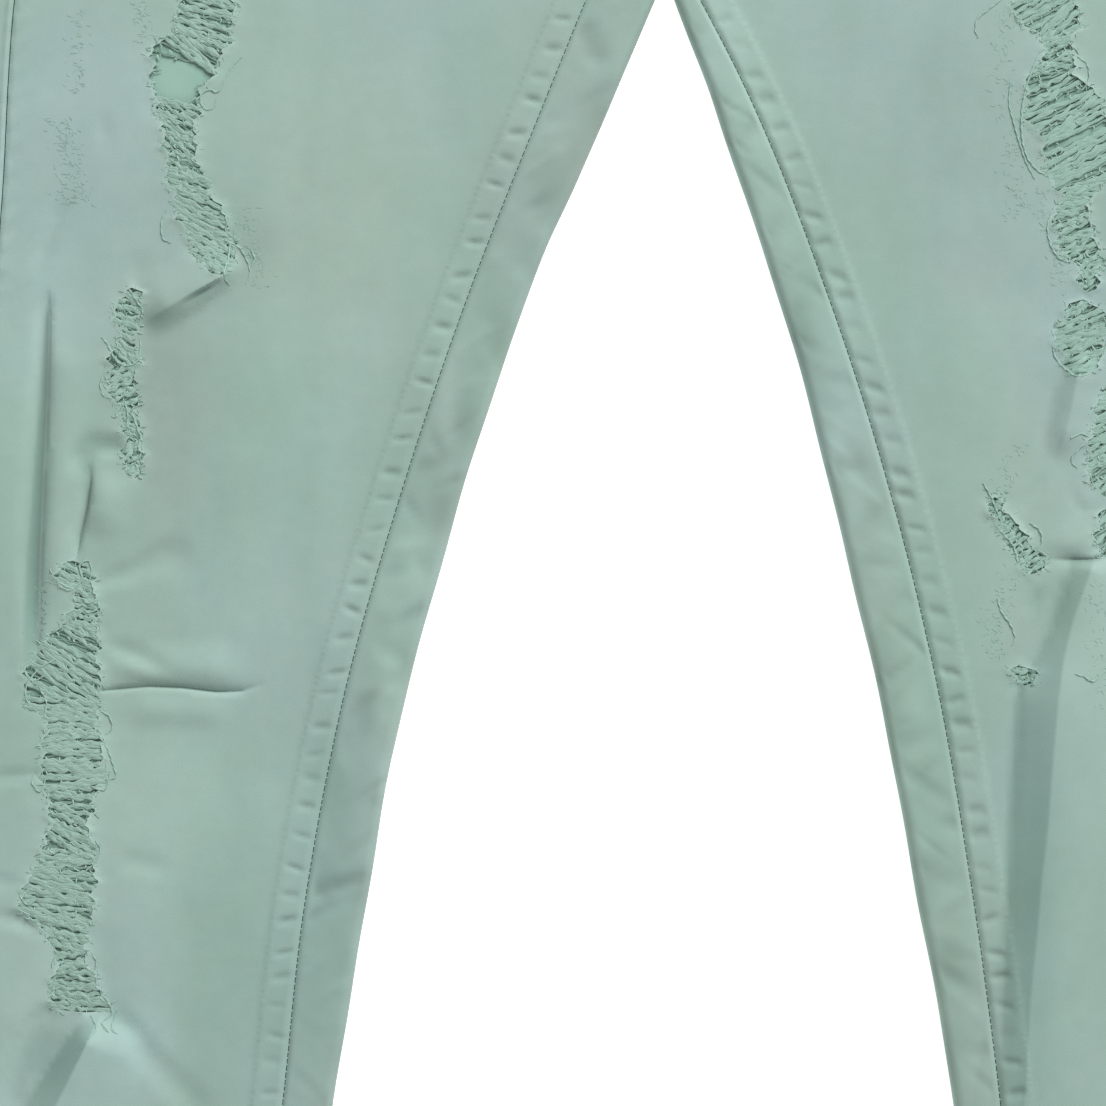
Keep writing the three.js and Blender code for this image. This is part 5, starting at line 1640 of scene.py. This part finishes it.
row = np.linspace(BAND_SEAM + SEAM_GAP, WAIST, 22)[:, None]
share = np.linspace(0, 1, 56)[None]
turn = np.linspace(math.pi / 2, -math.pi / 2, 14)[None, 1:-1]
rolls = [leg.outer(row) - leg.away * ROLL for leg in LEGS]
columns = []
for leg, start in zip(LEGS, rolls):
    lap = -BAND_OVERLAP if leg is left else BAND_UNDERLAP
    x = mix(centre_front(row) + lap, start, share)
    over = stacked(x, band_front_y(leg, row, x), band_top(leg, row, x))
    half = (LAY + BAND_PROUD + EDGE_PUFF) / 2
    roll = stacked(start + leg.away * ROLL * np.cos(turn), row + 0 * turn,
                   SEAT_LIFT + half + half * np.sin(turn) + 0 * row)
    columns.append(np.concatenate([over, roll], axis=1))
x = mix(rolls[0], rolls[1], np.linspace(0, 1, 90)[None])
under = stacked(x, row + 0 * x, SEAT_LIFT + 0 * x)
points = np.concatenate([columns[0], under, columns[1][:, ::-1]], axis=1)
rows, count, _ = points.shape
points, triangles = closed_round(points.reshape(-1, 3), grid_triangles(rows, count), BAND_WALL)
waistband = sew_denim("waistband", points, triangles, 0.1)

# ----------------------------------------
# Belt loops
# Narrow strips folded in three and sewn over the waistband at both ends, two in front and three behind.

LOOP_WIDTH = 12
LOOP_LENGTH = 48
LOOP_WALL = 1.1
over_band = LAY + SEAT_LIFT + BAND_PROUD + SEAM_GAP
LOOPS = {
    "belt_loop_front_right": (-106, -FRONT_DIP * 0.8, over_band),
    "belt_loop_front_left": (94, -FRONT_DIP * 0.8, over_band),
    "belt_loop_back_right": (-136, 0, 0),
    "belt_loop_back_centre": (WAIST_X, 0, 0),
    "belt_loop_back_left": (124, 0, 0),
}
for name, (middle, drop, bottom) in LOOPS.items():
    across, down = np.meshgrid(np.linspace(-1, 1, 13), np.linspace(-1, 1, 40))
    corner = 1 - 0.06 * np.clip((np.abs(down) - 0.94) / 0.06, 0, 1) ** 2
    x = middle + across * LOOP_WIDTH / 2 * corner
    y = WAIST - LOOP_LENGTH / 2 + drop + down * LOOP_LENGTH / 2
    dome = 0.22 * (np.abs(across) ** 4) + 0.08 * np.sin(y / 2.2) * across
    z = bottom + LOOP_WALL + 0.1 - dome if bottom else 0.05 + dome
    loop = sew_denim(name, *closed_sheet(x, y, z, LOOP_WALL - 0.2, down=not bottom), 0.2)

# ----------------------------------------
# Fly zip
# A closed nickel zip, hidden under the left front: woven tape, two rows of teeth and a slider at the top.


def nickel_material():
    made, wire = new_material("nickel")
    place = cloth_place(wire)
    tarnish = place.noise(0.25, 3.0, 0.6).between(0.35, 0.7)
    colour = tarnish.mixed((0.46, 0.45, 0.42), (0.22, 0.21, 0.19))
    finish_material(wire, {"Base Color": colour, "Metallic": 1.0, "Roughness": 0.34 + tarnish * 0.2})
    return made


nickel = nickel_material()
ZIP_WIDTH = 24
ZIP_BASE = 5.05
TOOTH_PITCH = 2.5
zip_foot, zip_head = FLY_END + 1, BAND_SEAM - FRONT_DIP - 1


def block(cx, cy, cz, wide, tall, thick):
    """A box as points and triangles."""
    corners = np.array([(x, y, z) for x in (-1, 1) for y in (-1, 1) for z in (-1, 1)], float)
    faces = np.array([(0, 1, 3), (0, 3, 2), (4, 6, 7), (4, 7, 5), (0, 4, 5), (0, 5, 1), (2, 3, 7),
                      (2, 7, 6), (0, 2, 6), (0, 6, 4), (1, 5, 7), (1, 7, 3)])
    return corners * np.array((wide, tall, thick)) / 2 + (cx, cy, cz), faces


y, share = np.meshgrid(np.linspace(zip_foot, zip_head, 60), np.linspace(-1, 1, 13), indexing="ij")
x = centre_front(y) + share * ZIP_WIDTH / 2
z = ZIP_BASE + 0.35 + 0.08 * np.cos(share * math.pi * 3)
points, triangles = closed_sheet(x, y, z, 0.4)
# painted shade: the tape is a little darker, hidden under the fly
tape = sew("zip_tape", points, triangles, backing_cloth, (),
           {"shaded": np.full(len(points), 0.25)})
parts = []
for k, level in enumerate(np.arange(zip_foot + 4, zip_head - 6, TOOTH_PITCH / 2)):
    sign = 1 if k % 2 else -1
    parts.append((*block(centre_front(level) + sign * 1.3, level, ZIP_BASE + 0.7, 3.4, 1.0, 0.55), 0))
parts.append((*block(centre_front(zip_head - 6), zip_head - 6, ZIP_BASE + 0.75, 6.5, 9, 0.5), 0))
parts.append((*block(centre_front(zip_foot + 2), zip_foot + 2, ZIP_BASE + 0.7, 5.5, 3, 0.5), 0))
points, triangles, _ = joined(parts)
sew("fly_zip", points, triangles, nickel, ["fly_zip"])

# ----------------------------------------
# Button
# A plain shank button of dull nickel: a rolled rim, a dished face and a low boss in the middle.

BUTTON_BASE = over_band + BAND_LIFT
BUTTON_PROFILE = ((0, 0), (7.4, 0), (8.1, 0.25), (8.5, 0.9), (8.45, 1.6), (8.1, 2.25), (7.5, 2.58),
                  (6.8, 2.6), (6.2, 2.45), (5.6, 2.15), (5.0, 2.05), (3.4, 2.05), (3.0, 2.15),
                  (2.7, 2.35), (1.8, 2.45), (0, 2.48))
BUTTON_SIDES = 72
turn = np.arange(BUTTON_SIDES) * TURN / BUTTON_SIDES
radius, height = np.array(BUTTON_PROFILE, float)[1:-1].T
ring = stacked(radius[:, None] * np.cos(turn), radius[:, None] * np.sin(turn),
               height[:, None] + 0 * turn).reshape(-1, 3)
r, k = np.meshgrid(np.arange(len(radius) - 1), np.arange(BUTTON_SIDES), indexing="ij")
p, q = (r * BUTTON_SIDES + k).ravel(), (r * BUTTON_SIDES + (k + 1) % BUTTON_SIDES).ravel()
k = np.arange(BUTTON_SIDES)
foot, top, last = len(ring), len(ring) + 1, (len(radius) - 1) * BUTTON_SIDES
triangles = np.concatenate([
    stacked(p, q, q + BUTTON_SIDES), stacked(p, q + BUTTON_SIDES, p + BUTTON_SIDES),
    stacked((k + 1) % BUTTON_SIDES, k, np.full_like(k, foot)),
    stacked(last + k, last + (k + 1) % BUTTON_SIDES, np.full_like(k, top))])
points = np.concatenate([ring, [(0, 0, 0), (0, 0, BUTTON_PROFILE[-1][1])]])
points = points + (centre_front(BAND_SEAM) + 8.5, (BAND_SEAM + WAIST) / 2 - FRONT_DIP, BUTTON_BASE)
sew("button", points, triangles, nickel, ["button"])

# ----------------------------------------
# Stitching
# Tonal thread, dyed with the cloth: a close row of stitches across the ditch of each inseam, twin rows
# on yokes, pockets and fly, single rows on waistband and hems, and bar tacks on the belt loops.

TWIN_ROWS = (2, 8)            # how far twin rows are from the edge
BAND_ROWS = (BAND_SEAM + 2.6, WAIST - 2.6)
STITCH = 2.7
STITCH_GAP = 0.7
THREAD = 0.30


def sewn_line(places, height, tone=0.45, down=False):
    """A row of stitches along a line of (x, y) places, on top of the cloth or on its underside."""
    places = np.asarray(places, float)
    run = run_along(places)
    starts = np.arange(0.5, run[-1] - STITCH, STITCH + STITCH_GAP)[:, None]
    t = np.linspace(0, 1, 4)[None]
    at = starts + STITCH * t
    x, y = np.interp(at, run, places[:, 0]), np.interp(at, run, places[:, 1])
    arch = 0.2 * np.sin(math.pi * t) - 0.08
    z = height(x, y) + (-arch if down else arch)
    tubes = yarn_tubes(stacked(x, y, z), np.full(x.shape, THREAD), 4, 0.75)
    return (*tubes, tone)


def ditch_stitches(leg):
    """Threads across the ditch of the inseam, that give it its dotted look."""
    level = np.arange(HEM + HEM_BAND + 2, CROSS[1] - 2, 2.9)[:, None]
    t = np.linspace(-1, 1, 5)[None]
    x = leg.inseam(level) + t * 0.85
    y = level + 0.3 * t + 0.25 * np.sin(level * 1.7)
    z = lie(leg, x, y) - 1.0 + 0.12 * (1 - t * t)
    return (*yarn_tubes(stacked(x, y, z), np.full(x.shape, 0.42), 4, 0.8), 0.12)


def along(x_at, low, high, step=4):
    """Places up a line whose x is given at each y."""
    y = np.arange(low, high, step)
    return stacked(x_at(y) + 0 * y, y)


for leg in LEGS:
    def top(x, y):
        return front_height(leg, x, y)

    parts = [ditch_stitches(leg)]
    for inset in TWIN_ROWS:
        mouth = mouth_arc(leg, inset, 200)
        keep = ((front_outer(leg, mouth[:, 1]) - mouth[:, 0]) * leg.away > 3) & (
            mouth[:, 1] < front_level(leg, BAND_SEAM, mouth[:, 0]) - 3)
        parts.append(sewn_line(mouth[keep], top))
    x = np.linspace(leg.inner(HEM) + leg.away * 6, leg.outer(HEM) - leg.away * 6, 40)
    hem_line = stacked(x, front_level(leg, np.full(40, HEM + 12.0), x))
    parts.append(sewn_line(hem_line, lambda x, y: lie(leg, x, y) + roping(x, y)))
    parts.append(sewn_line(along(lambda y: leg.seam(y) + leg.away * 2.6, 112, 246),
                           lambda x, y: lie(leg, x, y) + side_roll(leg, x, y)))
    if leg is left:
        for inset in (0, 6):
            reach = 38 - inset
            y = np.arange(BAND_SEAM - FRONT_DIP - 3, FLY_END + 24, -3.0)
            side = stacked(centre_front(y) + reach, y)
            turn = np.linspace(0, math.pi / 2, 14)[1:]
            bend = stacked(centre_front(FLY_END) - 4 + (reach + 4) * np.cos(turn),
                           FLY_END + 24 - (20 - inset) * np.sin(turn))
            parts.append(sewn_line(np.concatenate([side, bend]), top))
        parts.append(sewn_line(along(lambda y: front_inner(left, y) + 2.4, CROSS[1] + 6, 236), top))
    sew_threads(f"stitches_{leg.side}", parts)

    def below(x, y):
        return POCKET_BASE + 0 * x

    def seat(x, y):
        return seat_lift(y) + 0 * x

    parts = []
    for inset in TWIN_ROWS:
        shares = np.linspace(0, 1, 60)
        down_left = stacked(*pocket_outline(leg, inset, np.zeros(40), np.linspace(0, 1, 40)))
        foot_line = stacked(*pocket_outline(leg, inset, shares, np.ones(60)))
        up_right = stacked(*pocket_outline(leg, inset, np.ones(40), np.linspace(1, 0, 40)))
        parts.append(sewn_line(np.concatenate([down_left, foot_line, up_right]), below, down=True))
        x = np.linspace(centre_back(220) + leg.away * 3, leg.outer(YOKE_SEAM) - leg.away * 6, 50)
        yoke_line = stacked(x, back_level(leg, np.full(50, YOKE_SEAM + 0.0), x) + inset)
        parts.append(sewn_line(yoke_line, seat, down=True))
    x, y = pocket_outline(leg, 0, np.linspace(0.02, 0.98, 40), np.full(40, 0.125))
    parts.append(sewn_line(stacked(x, y), below, down=True))
    if leg is left:
        for inset in TWIN_ROWS:
            parts.append(sewn_line(along(lambda y: centre_back(y) + inset, 40, 200), seat, down=True))
    sew_threads(f"stitches_seat_{leg.side}", parts)

parts = []
for leg, lap in ((right, BAND_UNDERLAP + 18), (left, -BAND_OVERLAP + 2)):
    for level in BAND_ROWS:
        x = np.linspace(centre_front(level) + lap, leg.outer(level) - leg.away * 5, 60)
        places = stacked(x, band_front_y(leg, level, x))
        parts.append(sewn_line(places, lambda x, y: band_top(leg, level, x)))
for level in BAND_ROWS:
    x = np.linspace(right.outer(level) + 5, left.outer(level) - 5, 90)
    parts.append(sewn_line(stacked(x, level + 0 * x), lambda x, y: SEAT_LIFT + 0 * x, down=True))
for middle, drop, bottom in LOOPS.values():
    for end in (-1, 1):
        level = WAIST - LOOP_LENGTH / 2 + drop + end * (LOOP_LENGTH / 2 - 2.5)
        for row in (-0.7, 0, 0.7):
            places = ((middle - 5, level + row), (middle + 5, level + row))
            height = bottom + LOOP_WALL + 0.1 if bottom else 0.2
            parts.append(sewn_line(places, lambda x, y: height + 0 * x, down=not bottom))
sew_threads("stitches_waist", parts)

# ----------------------------------------
# Table, light and camera
# A plain pale table under soft daylight, with the camera straight above the legs.

floor_mesh = bpy.data.meshes.new("table")
FLOOR = 30
floor_mesh.from_pydata([(-FLOOR, -FLOOR, -0.0006), (FLOOR, -FLOOR, -0.0006), (FLOOR, FLOOR, -0.0006),
                        (-FLOOR, FLOOR, -0.0006)], [], [(0, 1, 2, 3)])
table = placed("table", floor_mesh)
table_top, wire = new_material("table_top")
finish_material(wire, {
    "Base Color": (0.9, 0.9, 0.9, 1), "Roughness": 0.8, "Specular IOR Level": 0.2,
    "Emission Color": (1, 1, 1, 1), "Emission Strength": 0.75})
floor_mesh.materials.append(table_top)

world = bpy.data.worlds.new("daylight")
world.use_nodes = True
sky = world.node_tree.nodes["Background"]
sky.inputs["Color"].default_value = (0.97, 0.99, 1, 1)
sky.inputs["Strength"].default_value = 0.45
bpy.context.scene.world = world
bpy.context.scene.view_settings.view_transform = "Standard"

VIEW_CENTRE = np.array((-46.75, -250.75, LAY)) * MM + CROTCH
VIEW_WIDTH = 470 * MM
lamp_data = bpy.data.lights.new("window", "AREA")
lamp_data.shape = "SQUARE"
lamp_data.size = 3.2
lamp_data.energy = 455
lamp = placed("window", lamp_data)
LAMP_FROM = Vector((2.8, 4.3, 3.5))
lamp.location = Vector(VIEW_CENTRE) + LAMP_FROM
lamp.rotation_euler = LAMP_FROM.to_track_quat("Z", "Y").to_euler()

camera_data = bpy.data.cameras.new("camera")
camera_data.lens = 90
camera_data.sensor_width = 36
camera_data.clip_end = 200
camera = placed("camera", camera_data)
camera.location = VIEW_CENTRE + (0, 0, VIEW_WIDTH * camera_data.lens / camera_data.sensor_width)
bpy.context.scene.camera = camera
